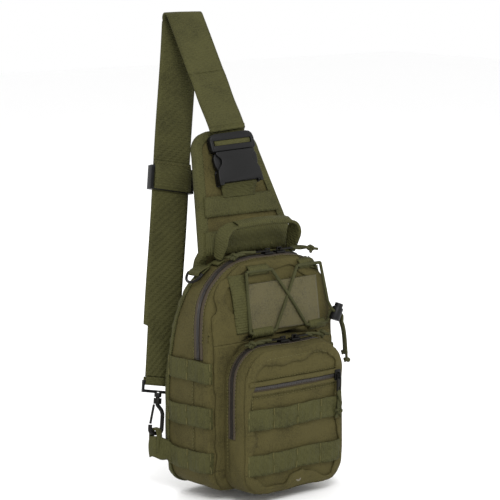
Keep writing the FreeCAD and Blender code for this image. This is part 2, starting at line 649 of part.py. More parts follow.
def bag_rings(hold):
    """The loop that the hook clips to, the patches under the handle and the tabs of the upper rings."""
    top = hold.z + size.hook_bar / 2 + 4.6
    loop = cut(box("loop_width", "loop_depth", "loop_height", hold.x, hold.y, "%s - loop_height" % top, "xy"),
               box("loop_width + 2", "loop_depth - 2 * webbing", "loop_height - 2 * webbing", hold.x, hold.y,
                   "%s + webbing - loop_height" % top, "xy"))
    inner = -size.body_width / 2 - size.binding_proud - 0.2
    reach = inner - hold.x + size.loop_width / 2
    root = box(reach, "3", "12", inner - reach, hold.y - size.loop_depth / 2 - 1, "%s - loop_height + 6" % top)
    pieces = [fuse(loop, root)]
    slope = (size.handle_half - size.body_width / 2 + size.top_radius) / size.top_radius
    for side in (-1, 1):
        patch = group(box("handle_thick + 8", "handle_foot - 3.4", "1.4", "0", "0", "0.1", "xy"))
        patch.Placement = axes((side * size.handle_half, -size.handle_y, foot_height()),
                               (side * slope, 0, math.sqrt(1 - slope ** 2)))
        pieces.append(patch)
    for side in (-1, 1):
        strip = box("9", "band - 6", "webbing", "-13", "0", "-dring_bar / 2 - 2.5", "y")
        curl = cut(box("dring_bar + 5", "band - 6", "dring_bar + 5", "0", "0", "0", "xyz"),
                   box("dring_bar + 1", "band", "dring_bar + 1", "0", "0", "0", "xyz"))
        tab = fuse(strip, curl)
        tab.Placement = shoulder(side)
        pieces.append(tab)
    part(group(*pieces), "sewn_tabs")
    half = size.dring_width / 2
    for side, name in ((-1, "d_ring_left"), (1, "d_ring_right")):
        straight = rod("dring_bar", "dring_width", (0, -half, 0), (0, 1, 0))
        bow = hoop("dring_width / 2", "dring_bar", (0, 0, 0), -90, 90, (0, 0, 1))
        part(fuse(straight, bow, ball("dring_bar", (0, -half, 0)), ball("dring_bar", (0, half, 0))), name,
             shoulder(side))


def shoulder(side):
    """A place over the bag's rounded shoulder, with its own Z off the surface and its own X down the slope."""
    out = (size.dring_x - size.body_width / 2 + size.top_radius) / size.top_radius
    rise = math.sqrt(1 - out ** 2)
    reach = size.top_radius + size.dring_bar / 2 + size.dring_lift
    at = ((size.body_width / 2 - size.top_radius + reach * out) * side, size.dring_y,
          size.body_height - size.top_radius + reach * rise)
    return axes(at, (out * side, 0, rise), (rise * side, 0, -out))


def tri_glide(last, down, side):
    height = (last.z - size.glide_z) / -down.z
    place = strap_place(last + down * height, -down, side)
    plate = box("glide_width", "webbing + 8", "glide_height", "0", "0", "0", "xyz")
    inner = box("strap_width + 1.6", "webbing + 10", "glide_height - 8", "0", "0", "0", "xyz")
    groove = box("strap_width + 1.6", "webbing + 1", "glide_height + 2", "0", "0", "0", "xyz")
    front = box("glide_width + 2", "4", "glide_height + 2", "0", "-webbing / 2 - 6.5", "0", "xyz")
    bars = cut(plate, inner, groove)
    middle = box("glide_width - 1", "3", "6", "0", "webbing / 2 + 2.2", "0", "xyz")
    part(cut(fuse(bars, middle), front), "tri_glide", place)


# ---------------------------------------------------------------- handle

def grab_handle():
    """A webbing hoop that leans forward, narrow at its feet and full width along the top."""
    lean = math.radians(size.handle_lean)
    up = V(0, -math.sin(lean), math.cos(lean))
    base = V(0, -size.handle_y, foot_height() + size.handle_gap)
    half, rise, corner = size.handle_half, size.handle_rise, 16.0
    side = up.cross(V(1, 0, 0))
    sections = []
    steps = 6
    foot, full, thick = size.handle_foot, size.band, size.handle_thick

    def add(x, lift, along):
        wide = foot + (full - foot) * min(lift / (rise - 4), 1.0)
        sections.append((base + V(x, 0, 0) + up * lift, along, side, wide, thick))

    add(-half, 0, up)
    add(-half, rise - corner, up)
    for step in range(1, steps + 1):
        angle = math.pi / 2 * step / steps
        along = up * math.cos(angle) + V(1, 0, 0) * math.sin(angle)
        add(corner - half - corner * math.cos(angle), rise - corner + corner * math.sin(angle), along)
    for step in range(steps + 1):
        angle = math.pi / 2 * (1 - step / steps)
        along = up * -math.cos(angle) + V(1, 0, 0) * math.sin(angle)
        add(half - corner + corner * math.cos(angle), rise - corner + corner * math.sin(angle), along)
    add(half, 0, -up)
    band = doc.addObject("Part::Feature", "handle")
    band.Shape = ribbon(sections)
    part(band, "grab_handle")


def foot_height():
    """Height of the bag's curved top where the handle's feet stand."""
    out = size.handle_half - (size.body_width / 2 - size.top_radius)
    return size.body_height - size.top_radius + math.sqrt(size.top_radius ** 2 - out ** 2)


# ---------------------------------------------------------------- build and export

bag_back()
bag_gusset()
fixed_webbing()
main_flap()
flap_front()
lacing()
cord_lock()
pocket()
pocket_flap()
sliders()
yoke()
buckle()
strap_band, fold_end, falling, strap_side, fall_length = strap()
bag_rings(strap_foot(strap_band, fold_end, falling, strap_side, fall_length))
tri_glide(fold_end, falling, strap_side)
grab_handle()

doc.recompute()
for obj in doc.Objects:
    if "Invalid" in obj.State or "Error" in obj.State:
        raise RuntimeError("%s did not compute: %s" % (obj.Label, obj.State))
os.makedirs("parts", exist_ok=True)
for node in parts:
    if node.Shape.isNull() or not node.Shape.isValid() or not node.Shape.Solids:
        raise RuntimeError("%s has no valid solid" % node.Label)
    node.Shape.exportStep("parts/%s.step" % node.Label)
print("%d nodes" % len(parts))
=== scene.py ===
import json
import math

import bmesh
import bpy
from mathutils import Matrix, Vector, noise
from mathutils.bvhtree import BVHTree


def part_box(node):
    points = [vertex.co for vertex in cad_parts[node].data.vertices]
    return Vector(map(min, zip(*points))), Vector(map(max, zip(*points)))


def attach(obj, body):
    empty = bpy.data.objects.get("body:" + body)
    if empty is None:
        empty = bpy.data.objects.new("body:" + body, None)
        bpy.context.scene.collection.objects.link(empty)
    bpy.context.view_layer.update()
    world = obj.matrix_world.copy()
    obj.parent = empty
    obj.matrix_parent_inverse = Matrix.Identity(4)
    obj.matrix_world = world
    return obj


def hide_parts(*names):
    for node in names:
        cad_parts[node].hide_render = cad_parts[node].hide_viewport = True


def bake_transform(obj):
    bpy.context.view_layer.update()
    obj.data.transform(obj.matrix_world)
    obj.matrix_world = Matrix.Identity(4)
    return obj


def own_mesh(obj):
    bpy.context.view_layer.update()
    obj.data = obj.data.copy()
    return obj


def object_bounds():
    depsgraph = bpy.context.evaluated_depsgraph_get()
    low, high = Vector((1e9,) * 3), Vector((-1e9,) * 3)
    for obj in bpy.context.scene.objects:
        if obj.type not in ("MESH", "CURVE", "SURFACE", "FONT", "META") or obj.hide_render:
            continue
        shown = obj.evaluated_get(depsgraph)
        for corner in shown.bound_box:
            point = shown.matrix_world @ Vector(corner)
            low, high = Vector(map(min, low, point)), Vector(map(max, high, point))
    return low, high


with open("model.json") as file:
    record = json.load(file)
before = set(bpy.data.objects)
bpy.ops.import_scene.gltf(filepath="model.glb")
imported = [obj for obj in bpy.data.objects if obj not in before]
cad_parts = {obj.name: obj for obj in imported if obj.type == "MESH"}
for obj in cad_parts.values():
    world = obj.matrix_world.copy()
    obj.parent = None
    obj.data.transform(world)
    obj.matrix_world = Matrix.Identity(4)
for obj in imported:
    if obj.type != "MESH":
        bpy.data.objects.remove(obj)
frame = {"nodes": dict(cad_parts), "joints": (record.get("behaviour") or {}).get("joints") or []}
CAD_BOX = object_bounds()

bl_info = {
    "name": "Sling bag",
    "version": (1, 0, 0),
    "blender": (4, 5, 0),
    "location": "View3D > Sidebar > Sling bag",
    "description": "Sews the fabric, webbing, zips and cords of a sling bag around its frame",
    "category": "Object",
}

JOINTS = {joint["name"]: joint for joint in frame["joints"]}
MM = 0.001
forms = {}
made = {}


def joint_place(name):
    """A joint's point and axis."""
    return Vector(JOINTS[name]["pos_m"]), Vector(JOINTS[name]["axis"]).normalized()


# Heights and depths that the pieces share, read from the frame.
BODY_HIGH = Vector(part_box("rear_gusset")[1])
POCKET_HIGH = Vector(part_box("pocket_gusset")[1])
FLAP_LOW, FLAP_HIGH = [Vector(corner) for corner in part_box("flap_panel")]
YOKE_LOW, YOKE_HIGH = [Vector(corner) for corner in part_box("yoke_panel")]
HALF = BODY_HIGH.x
TALL = BODY_HIGH.z
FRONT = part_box("lower_front_panel")[0][1]
BACK = Vector(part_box("back_panel")[1]).y
BACK_TOP = 0.010
FRONT_TOP = -0.030
BACK_KNEE = 0.150
FRONT_KNEE = 0.190
TOP_RADIUS = 0.070
BOTTOM_RADIUS = 0.028
ZIP_Y = -0.019
ZIP_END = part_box("main_zip_rear_tape")[0][2]
FLAP_LINE = joint_place("main_flap_open")[0].z
POCKET_HALF = POCKET_HIGH.x
POCKET_TALL = POCKET_HIGH.z
POCKET_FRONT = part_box("pocket_flap_panel")[0][1]
POCKET_RADIUS = 0.038
POCKET_ZIP_Y = -0.058
POCKET_ZIP_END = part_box("pocket_zip_rear_tape")[0][2]
POCKET_LINE = joint_place("pocket_flap_open")[0].z
BUCKLE_AT, BUCKLE_UP = joint_place("buckle_release")
BUCKLE_BACK = joint_place("prong_right_squeeze")[1]
HOOK_AT, HOOK_UP = joint_place("hook_turn")
GLIDE_AT, STRAP_UP = joint_place("glide_run")
BUCKLE_SIDE = BUCKLE_BACK.cross(BUCKLE_UP).normalized()
if BUCKLE_SIDE.x < 0:
    BUCKLE_SIDE = -BUCKLE_SIDE
HOOK_LOW = HOOK_AT - HOOK_UP * 0.06225
ROW_HEIGHT = 0.025
ROW_PITCH = 0.055
SIDE_ROW = 0.075
POCKET_ROW = 0.15
# How far outside the bag a line starts when it is laid down on it.
CAST = 0.03


# ---------------------------------------------------------------- settings a user would change

class BagSizes(bpy.types.PropertyGroup):
    """Sizes of the sewn work."""
    voxel: bpy.props.FloatProperty(name="Cloth grain", description="Voxel size of the simulated cloth",
                                   default=0.0045, unit="LENGTH")
    cloth: bpy.props.FloatProperty(name="Cloth thickness", description="Thickness of the coated fabric",
                                   default=0.0016, unit="LENGTH")
    bulge: bpy.props.FloatProperty(name="Bulge", description="How far a filled panel may swell",
                                   default=0.006, unit="LENGTH")
    webbing: bpy.props.FloatProperty(name="Webbing", description="Thickness of the webbing",
                                     default=0.0016, unit="LENGTH")
    tack: bpy.props.FloatProperty(name="Tack spacing", description="Distance between the bar tacks of a row",
                                  default=0.0375, unit="LENGTH")
    stitch: bpy.props.FloatProperty(name="Stitch", description="Length of one stitch with its gap",
                                    default=0.0042, unit="LENGTH")


class BagColours(bpy.types.PropertyGroup):
    """Colours as sRGB hex values."""
    fabric: bpy.props.StringProperty(name="Fabric", description="Coated nylon", default="403B21")
    webbing: bpy.props.StringProperty(name="Webbing", description="Woven nylon", default="3A391F")
    tape: bpy.props.StringProperty(name="Zip tape", description="Zip tape", default="352C1D")
    coil: bpy.props.StringProperty(name="Zip coil", description="Nylon coil", default="19130D")
    thread: bpy.props.StringProperty(name="Thread", description="Bonded thread", default="4B4727")
    plastic: bpy.props.StringProperty(name="Plastic", description="Moulded acetal", default="090909")
    metal: bpy.props.StringProperty(name="Metal", description="Black coated zinc", default="161513")
    cord: bpy.props.StringProperty(name="Cord", description="Braided cord", default="35351F")


def sizes():
    return bpy.context.scene.bag_sizes


def colours():
    return bpy.context.scene.bag_colours


# ---------------------------------------------------------------- materials

def linear(hexes, gain=1.0):
    """An sRGB hex colour as linear light."""
    values = [int(hexes[i:i + 2], 16) / 255 for i in (0, 2, 4)]
    values = [v / 12.92 if v <= 0.04045 else ((v + 0.055) / 1.055) ** 2.4 for v in values]
    return tuple(min(v * gain, 1.0) for v in values) + (1.0,)


def add_node(tree, kind, settings=None, links=None):
    """Add a node, set its sockets and properties, and link its inputs."""
    node = tree.nodes.new(kind)
    for name, value in (settings or {}).items():
        if name in node.inputs:
            node.inputs[name].default_value = value
        else:
            setattr(node, name, value)
    for name, source in (links or {}).items():
        tree.links.new(source, node.inputs[name])
    return node


def new_material(name, roughness):
    material = bpy.data.materials.new(name)
    material.use_nodes = True
    tree = material.node_tree
    shader = tree.nodes["Principled BSDF"]
    shader.inputs["Roughness"].default_value = roughness
    return material, tree, shader


def mottle(tree, coordinates, shader, colour, spread, grain):
    """Vary a colour over centimetres and over the grain of the surface."""
    broad = add_node(tree, "ShaderNodeTexNoise", {"Scale": 28.0, "Detail": 4.0, "Roughness": 0.6},
                     {"Vector": coordinates})
    fine = add_node(tree, "ShaderNodeTexNoise", {"Scale": grain, "Detail": 2.0}, {"Vector": coordinates})
    both = add_node(tree, "ShaderNodeMath", {"operation": "MULTIPLY_ADD"},
                    {0: broad.outputs["Fac"], 2: fine.outputs["Fac"]})
    both.inputs[1].default_value = 0.9
    ramp = add_node(tree, "ShaderNodeValToRGB", None, {"Fac": both.outputs[0]})
    ramp.color_ramp.elements[0].position = 0.62
    ramp.color_ramp.elements[0].color = linear(colour, 1 - spread)
    ramp.color_ramp.elements[1].position = 1.0
    ramp.color_ramp.elements[1].color = linear(colour, 1 + spread)
    tree.links.new(ramp.outputs["Color"], shader.inputs["Base Color"])
    return ramp


def coated_nylon():
    """Textured polyester with a coating: a pebbled basket weave of about 0.9 mm, matt with a faint sheen."""
    material, tree, shader = new_material("coated_nylon_weave", 0.86)
    shader.inputs["Specular IOR Level"].default_value = 0.12
    place = add_node(tree, "ShaderNodeTexCoord").outputs["Object"]
    mottle(tree, place, shader, colours().fabric, 0.3, 700.0)
    weave = add_node(tree, "ShaderNodeTexVoronoi", {"Scale": 1 / (0.9 * MM), "Randomness": 0.55},
                     {"Vector": place})
    crease = add_node(tree, "ShaderNodeTexNoise", {"Scale": 70.0, "Detail": 5.0, "Distortion": 0.4},
                      {"Vector": place})
    fold = add_node(tree, "ShaderNodeBump", {"Strength": 0.5, "Distance": 3.0 * MM},
                    {"Height": crease.outputs["Fac"]})
    bump = add_node(tree, "ShaderNodeBump", {"Strength": 0.8, "Distance": 0.5 * MM},
                    {"Height": weave.outputs["Distance"], "Normal": fold.outputs["Normal"]})
    tree.links.new(bump.outputs["Normal"], shader.inputs["Normal"])
    return material


def woven_webbing():
    """Nylon webbing: ribs across the band about 1.6 mm apart, drawn a little coarse so that they show."""
    material, tree, shader = new_material("woven_nylon_webbing", 0.78)
    shader.inputs["Specular IOR Level"].default_value = 0.14
    coordinates = add_node(tree, "ShaderNodeTexCoord")
    mottle(tree, coordinates.outputs["Object"], shader, colours().webbing, 0.3, 800.0)
    ribs = add_node(tree, "ShaderNodeTexWave", {"Scale": 1 / (1.6 * MM) / 6.28, "bands_direction": "X"},
                    {"Vector": coordinates.outputs["UV"]})
    warp = add_node(tree, "ShaderNodeTexWave", {"Scale": 1 / (2.4 * MM) / 6.28, "bands_direction": "DIAGONAL"},
                    {"Vector": coordinates.outputs["UV"]})
    both = add_node(tree, "ShaderNodeMath", {"operation": "ADD"},
                    {0: ribs.outputs["Fac"], 1: warp.outputs["Fac"]})
    bump = add_node(tree, "ShaderNodeBump", {"Strength": 0.9, "Distance": 0.5 * MM}, {"Height": both.outputs[0]})
    tree.links.new(bump.outputs["Normal"], shader.inputs["Normal"])
    return material


def loop_pile():
    """Loop side of a hook-and-loop field: a short, tangled pile with no clear direction."""
    material, tree, shader = new_material("loop_pile_fabric", 0.95)
    shader.inputs["Sheen Weight"].default_value = 0.08
    place = add_node(tree, "ShaderNodeTexCoord").outputs["Object"]
    mottle(tree, place, shader, colours().fabric, 0.45, 600.0)
    fuzz = add_node(tree, "ShaderNodeTexNoise", {"Scale": 1 / (1.5 * MM), "Detail": 4.0, "Roughness": 0.8},
                    {"Vector": place})
    bump = add_node(tree, "ShaderNodeBump", {"Strength": 0.9, "Distance": 1.0 * MM},
                    {"Height": fuzz.outputs["Fac"]})
    tree.links.new(bump.outputs["Normal"], shader.inputs["Normal"])
    return material


def zip_tape():
    """Woven polyester tape beside the coil: flat, fine and a little browner than the fabric."""
    material, tree, shader = new_material("polyester_zip_tape", 0.85)
    place = add_node(tree, "ShaderNodeTexCoord").outputs["Object"]
    mottle(tree, place, shader, colours().tape, 0.12, 900.0)
    ribs = add_node(tree, "ShaderNodeTexVoronoi", {"Scale": 1 / (0.8 * MM), "Randomness": 0.2}, {"Vector": place})
    bump = add_node(tree, "ShaderNodeBump", {"Strength": 0.4, "Distance": 0.25 * MM},
                    {"Height": ribs.outputs["Distance"]})
    tree.links.new(bump.outputs["Normal"], shader.inputs["Normal"])
    return material


def nylon_coil():
    """Moulded nylon coil: turns about 1.4 mm apart across the zip, with a dull gloss."""
    material, tree, shader = new_material("nylon_zip_coil", 0.5)
    coordinates = add_node(tree, "ShaderNodeTexCoord")
    mottle(tree, coordinates.outputs["Object"], shader, colours().coil, 0.2, 600.0)
    turns = add_node(tree, "ShaderNodeTexWave", {"Scale": 1 / (1.4 * MM) / 6.28, "bands_direction": "X"},
                     {"Vector": coordinates.outputs["UV"]})
    bump = add_node(tree, "ShaderNodeBump", {"Strength": 0.9, "Distance": 0.8 * MM},
                    {"Height": turns.outputs["Fac"]})
    tree.links.new(bump.outputs["Normal"], shader.inputs["Normal"])
    return material


def plain_finish(name, colour, roughness, metallic, speck, level):
    """A smooth hard surface with a faint texture and patches of slightly duller skin."""
    material, tree, shader = new_material(name, roughness)
    shader.inputs["Metallic"].default_value = metallic
    shader.inputs["Specular IOR Level"].default_value = 0.22
    place = add_node(tree, "ShaderNodeTexCoord").outputs["Object"]
    mottle(tree, place, shader, colour, 0.2, 400.0)
    skin = add_node(tree, "ShaderNodeTexNoise", {"Scale": 1 / (speck * MM), "Detail": 3.0}, {"Vector": place})
    gloss = add_node(tree, "ShaderNodeMapRange", {"To Min": roughness - 0.07, "To Max": roughness + 0.1},
                     {"Value": skin.outputs["Fac"]})
    tree.links.new(gloss.outputs["Result"], shader.inputs["Roughness"])
    bump = add_node(tree, "ShaderNodeBump", {"Strength": level, "Distance": 0.2 * MM},
                    {"Height": skin.outputs["Fac"]})
    tree.links.new(bump.outputs["Normal"], shader.inputs["Normal"])
    return material


def braided_cord():
    """Braided sheath over a core: crossed strands about 1.3 mm wide."""
    material, tree, shader = new_material("braided_cord", 0.8)
    shader.inputs["Specular IOR Level"].default_value = 0.15
    place = add_node(tree, "ShaderNodeTexCoord").outputs["Object"]
    mottle(tree, place, shader, colours().cord, 0.3, 900.0)
    braid = add_node(tree, "ShaderNodeTexVoronoi", {"Scale": 1 / (1.2 * MM), "Randomness": 0.35},
                     {"Vector": place})
    bump = add_node(tree, "ShaderNodeBump", {"Strength": 0.9, "Distance": 0.5 * MM},
                    {"Height": braid.outputs["Distance"]})
    tree.links.new(bump.outputs["Normal"], shader.inputs["Normal"])
    return material


def paint():
    """Make every material once."""
    made.update({
        "fabric": coated_nylon(), "webbing": woven_webbing(), "pile": loop_pile(), "tape": zip_tape(),
        "coil": nylon_coil(), "cord": braided_cord(),
        "thread": plain_finish("bonded_thread", colours().thread, 0.7, 0.0, 0.4, 0.2),
        "plastic": plain_finish("moulded_acetal", colours().plastic, 0.42, 0.0, 0.6, 0.25),
        "metal": plain_finish("coated_zinc", colours().metal, 0.35, 0.6, 0.5, 0.2),
        "eyelet": plain_finish("aged_steel_eyelet", "6B665A", 0.4, 0.9, 0.5, 0.2),
    })


# ---------------------------------------------------------------- mesh helpers

def make_object(name, bm, material, smooth=True):
    """Turn a bmesh into an object at the origin."""
    bmesh.ops.recalc_face_normals(bm, faces=bm.faces)
    mesh = bpy.data.meshes.new(name)
    bm.to_mesh(mesh)
    bm.free()
    obj = bpy.data.objects.new(name, mesh)
    bpy.context.scene.collection.objects.link(obj)
    mesh.materials.append(material)
    if smooth:
        mesh.shade_smooth()
    return obj


def modify(obj, kind, **settings):
    """Add a modifier with its settings."""
    modifier = obj.modifiers.new(kind.title(), kind)
    for name, value in settings.items():
        setattr(modifier, name, value)
    return modifier


def bake_modifiers(obj):
    """Replace an object's mesh with the mesh its modifiers give."""
    graph = bpy.context.evaluated_depsgraph_get()
    mesh = bpy.data.meshes.new_from_object(obj.evaluated_get(graph))
    obj.modifiers.clear()
    obj.data = mesh
    return obj


def join(name, objects):
    """One object from several, with each face keeping its material."""
    bm = bmesh.new()
    materials = []
    for obj in objects:
        graph = bpy.context.evaluated_depsgraph_get()
        mesh = bpy.data.meshes.new_from_object(obj.evaluated_get(graph))
        remap = {}
        for index, material in enumerate(mesh.materials):
            if material not in materials:
                materials.append(material)
            remap[index] = materials.index(material)
        for polygon in mesh.polygons:
            polygon.material_index = remap.get(polygon.material_index, 0)
        bm.from_mesh(mesh)
        bpy.data.meshes.remove(mesh)
    for obj in objects:
        bpy.data.objects.remove(obj, do_unlink=True)
    mesh = bpy.data.meshes.new(name)
    bm.to_mesh(mesh)
    bm.free()
    for material in materials:
        mesh.materials.append(material)
    obj = bpy.data.objects.new(name, mesh)
    bpy.context.scene.collection.objects.link(obj)
    mesh.shade_smooth()
    return obj


def band(name, across, along, place, material, thick, uv=(1, 1)):
    """A strip from a grid: `place(u, v)` gives each point, u across and v along, both from 0 to 1.

    `uv` is the strip's real width and length in metres, so that its weave keeps its scale.
    """
    bm = bmesh.new()
    layer = bm.loops.layers.uv.new("UVMap")
    bmesh.ops.create_grid(bm, x_segments=across, y_segments=along, size=0.5, calc_uvs=True)
    for face in bm.faces:
        for loop in face.loops:
            u, v = loop[layer].uv
            loop[layer].uv = (v * uv[1], u * uv[0])
    for vert in bm.verts:
        vert.co = place(vert.co.x + 0.5, vert.co.y + 0.5)
    obj = make_object(name, bm, material)
    modify(obj, "SOLIDIFY", thickness=thick, offset=0.0)
    bake_modifiers(obj)
    return obj


def tube(name, points, radius, material, closed=False, order=3):
    """A round cord along a smooth line."""
    curve = bpy.data.curves.new(name, "CURVE")
    curve.dimensions = "3D"
    spline = curve.splines.new("NURBS")
    spline.points.add(len(points) - 1)
    for point, co in zip(spline.points, points):
        point.co = (*co, 1.0)
    spline.use_cyclic_u = closed
    spline.order_u = order
    spline.use_endpoint_u = not closed
    curve.bevel_depth = radius
    curve.bevel_resolution = 3
    curve.resolution_u = 8
    curve.use_fill_caps = True
    curve.materials.append(material)
    obj = bpy.data.objects.new(name, curve)
    bpy.context.scene.collection.objects.link(obj)
    return obj


def solid_tube(name, points, radius, material, closed=False):
    """A round cord as a mesh, to be joined with other pieces."""
    obj = tube(name, points, radius, material, closed)
    graph = bpy.context.evaluated_depsgraph_get()
    mesh = bpy.data.meshes.new_from_object(obj.evaluated_get(graph))
    bpy.data.objects.remove(obj, do_unlink=True)
    mesh.shade_smooth()
    obj = bpy.data.objects.new(name, mesh)
    bpy.context.scene.collection.objects.link(obj)
    return obj


def outline(half, tall, top, bottom, low, count):
    """Points and outward normals around an arch from the left side at `low`, over the top, to the right side.

    With low at None the whole closed outline is followed.
    """
    side = tall - top - bottom
    flat_top = 2 * (half - top)
    corner = math.pi / 2 * top
    spans = [side, corner, flat_top, corner, side]
    if low is not None:
        spans[0] = spans[4] = tall - top - low
    else:
        spans += [math.pi / 2 * bottom, 2 * (half - bottom), math.pi / 2 * bottom]
    total = sum(spans)
    points = []
    for i in range(count):
        run = total * i / (count - 1 if low is not None else count)
        part = 0
        while part < len(spans) - 1 and run > spans[part]:
            run -= spans[part]
            part += 1
        start = tall - top - spans[0]
        if part == 0:
            points.append((Vector((-half, 0, start + run)), Vector((-1, 0, 0))))
        elif part in (1, 3):
            angle = (math.pi if part == 1 else math.pi / 2) - run / top
            centre = Vector(((top - half) * (1 if part == 1 else -1), 0, tall - top))
            out = Vector((math.cos(angle), 0, math.sin(angle)))
            points.append((centre + out * top, out))
        elif part == 2:
            points.append((Vector((top - half + run, 0, tall)), Vector((0, 0, 1))))
        elif part == 4:
            points.append((Vector((half, 0, tall - top - run)), Vector((1, 0, 0))))
        elif part in (5, 7):
            angle = (0 if part == 5 else -math.pi / 2) - run / bottom
            centre = Vector(((half - bottom) * (1 if part == 5 else -1), 0, bottom))
            out = Vector((math.cos(angle), 0, math.sin(angle)))
            points.append((centre + out * bottom, out))
        else:
            points.append((Vector((half - bottom - run, 0, 0)), Vector((0, 0, -1))))
    return points


def on_path(path, share):
    """The point that lies at a share of the way along a path, counted in its own steps."""
    at = share * (len(path) - 1)
    index = min(int(at), len(path) - 2)
    return Vector(path[index]).lerp(Vector(path[index + 1]), at - index)


def touch(form, start, direction):
    """Where a line from `start` first meets a form, and the form's normal there."""
    hit, normal, _, _ = forms[form].ray_cast(start, direction)
    if hit is None:
        hit, normal, _, _ = forms[form].find_nearest(start)
    return hit, normal


def lay(form, start, direction, lift):
    """A point that lies `lift` above a form, found along a direction."""
    hit, normal = touch(form, start, direction)
    if normal.dot(direction) > 0:
        normal = -normal
    return hit + normal * lift


def stitch_line(name, points, material=None):
    """A row of short raised stitches along points that already lie on a surface."""
    step = sizes().stitch
    bm = bmesh.new()
    carry = 0.0
    for start, stop in zip(points, points[1:]):
        along = stop - start
        length = along.length
        if length < 1e-6:
            continue
        heading = along.to_track_quat("X", "Z").to_matrix().to_4x4()
        at = carry
        while at < length:
            centre = start + along * (at / length)
            shape = Matrix.Translation(centre) @ heading @ Matrix.Diagonal((step * 0.68, 0.0009, 0.0007, 1))
            bmesh.ops.create_cube(bm, size=1.0, matrix=shape)
            at += step
        carry = at - length
    return make_object(name, bm, material or made["thread"], smooth=False)


def ride(obj, body, *nodes, slot=None):
    """Put a piece on its body, in place of its frame shapes. `slot` is not used."""
    if nodes:
        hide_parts(*nodes)
    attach(obj, body)
    return obj


# ---------------------------------------------------------------- simulated forms

def arch_block(half, tall, top, bottom, front, back):
    """A block with an arch-shaped front, made from a cube with rounded edges."""
    bm = bmesh.new()
    bmesh.ops.create_cube(bm, size=1.0)
    bmesh.ops.scale(bm, vec=(2 * half, back - front, tall), verts=bm.verts)
    bmesh.ops.translate(bm, vec=(0, (back + front) / 2, tall / 2), verts=bm.verts)
    for radius, high in ((top, True), (bottom, False)):
        edges = [e for e in bm.edges
                 if abs(e.verts[0].co.y - e.verts[1].co.y) > 1e-6
                 and abs(abs(e.verts[0].co.x) - half) < 1e-6 and (e.verts[0].co.z > tall / 2) == high]
        bmesh.ops.bevel(bm, geom=edges, offset=radius, offset_type="OFFSET", segments=12, profile=0.5,
                        affect="EDGES", material=-1)
    return bm


def slice_levels(bm, levels):
    for level in levels:
        bmesh.ops.bisect_plane(bm, geom=bm.verts[:] + bm.edges[:] + bm.faces[:], plane_co=(0, 0, level),
                               plane_no=(0, 0, 1))


def crumple(co, scale, depth):
    """Soft wrinkles that are the same every time."""
    return (noise.noise(co * scale) + 0.5 * noise.noise(co * scale * 2.3 + Vector((7, 3, 1)))) * depth


def simulate(name, bm, pinned, pressure, cap):
    """Fill a closed form like a bag under light pressure, then keep its surface for the pieces to lie on."""
    obj = make_object(name, bm, made["fabric"])
    modify(obj, "REMESH", mode="VOXEL", voxel_size=sizes().voxel)
    bake_modifiers(obj)
    rest = [v.co.copy() for v in obj.data.vertices]
    held = obj.vertex_groups.new(name="held")
    for index, co in enumerate(rest):
        held.add([index], pinned(co), "REPLACE")
    cloth = modify(obj, "CLOTH")
    settings = cloth.settings
    settings.quality = 4
    settings.mass = 0.3
    settings.tension_stiffness = 30
    settings.compression_stiffness = 12
    settings.bending_stiffness = 0.8
    settings.use_pressure = True
    settings.uniform_pressure_force = pressure
    settings.effector_weights.gravity = 0
    settings.vertex_group_mass = "held"
    cloth.collision_settings.use_collision = False
    for step in range(1, 21):
        bpy.context.scene.frame_set(step)
    bake_modifiers(obj)
    bpy.context.scene.frame_set(1)
    mesh = obj.data
    for vert, start in zip(mesh.vertices, rest):
        move = vert.co - start
        if move.length > cap:
            vert.co = start + move.normalized() * cap
    mesh.update()
    normals = [v.normal.copy() for v in mesh.vertices]
    for vert, normal, start in zip(mesh.vertices, normals, rest):
        free = 1 - pinned(start)
        vert.co += normal * crumple(start, 22, 0.0016) * free
        vert.co += normal * crumple(start + Vector((3, 1, 2)), 60, 0.0006) * free
    bm = bmesh.new()
    bm.from_mesh(mesh)
    bmesh.ops.smooth_vert(bm, verts=bm.verts, factor=0.5, use_axis_x=True, use_axis_y=True, use_axis_z=True)
    bmesh.ops.recalc_face_normals(bm, faces=bm.faces)
    bm.to_mesh(mesh)
    forms[name] = BVHTree.FromBMesh(bm)
    bm.free()
    bpy.context.scene.collection.objects.unlink(obj)
    made[name] = obj
    return obj


def cut_piece(name, form, planes, thick):
    """The part of a form on the inner side of every plane, given a wall inwards."""
    bm = bmesh.new()
    bm.from_mesh(made[form].data)
    for point, normal in planes:
        bmesh.ops.bisect_plane(bm, geom=bm.verts[:] + bm.edges[:] + bm.faces[:], plane_co=point,
                               plane_no=normal, clear_outer=True)
    mesh = bpy.data.meshes.new(name)
    bm.to_mesh(mesh)
    bm.free()
    obj = bpy.data.objects.new(name, mesh)
    bpy.context.scene.collection.objects.link(obj)
    mesh.materials.append(made["fabric"])
    mesh.shade_smooth()
    modify(obj, "SUBSURF", levels=1, render_levels=1)
    modify(obj, "SOLIDIFY", thickness=thick, offset=-1.0)
    bake_modifiers(obj)
    return obj


def back_depth(z):
    return BACK if z < BACK_KNEE else BACK + (BACK_TOP - BACK) * (z - BACK_KNEE) / (TALL - BACK_KNEE)


def front_depth(z):
    return FRONT if z < FRONT_KNEE else FRONT + (FRONT_TOP - FRONT) * (z - FRONT_KNEE) / (TALL - FRONT_KNEE)


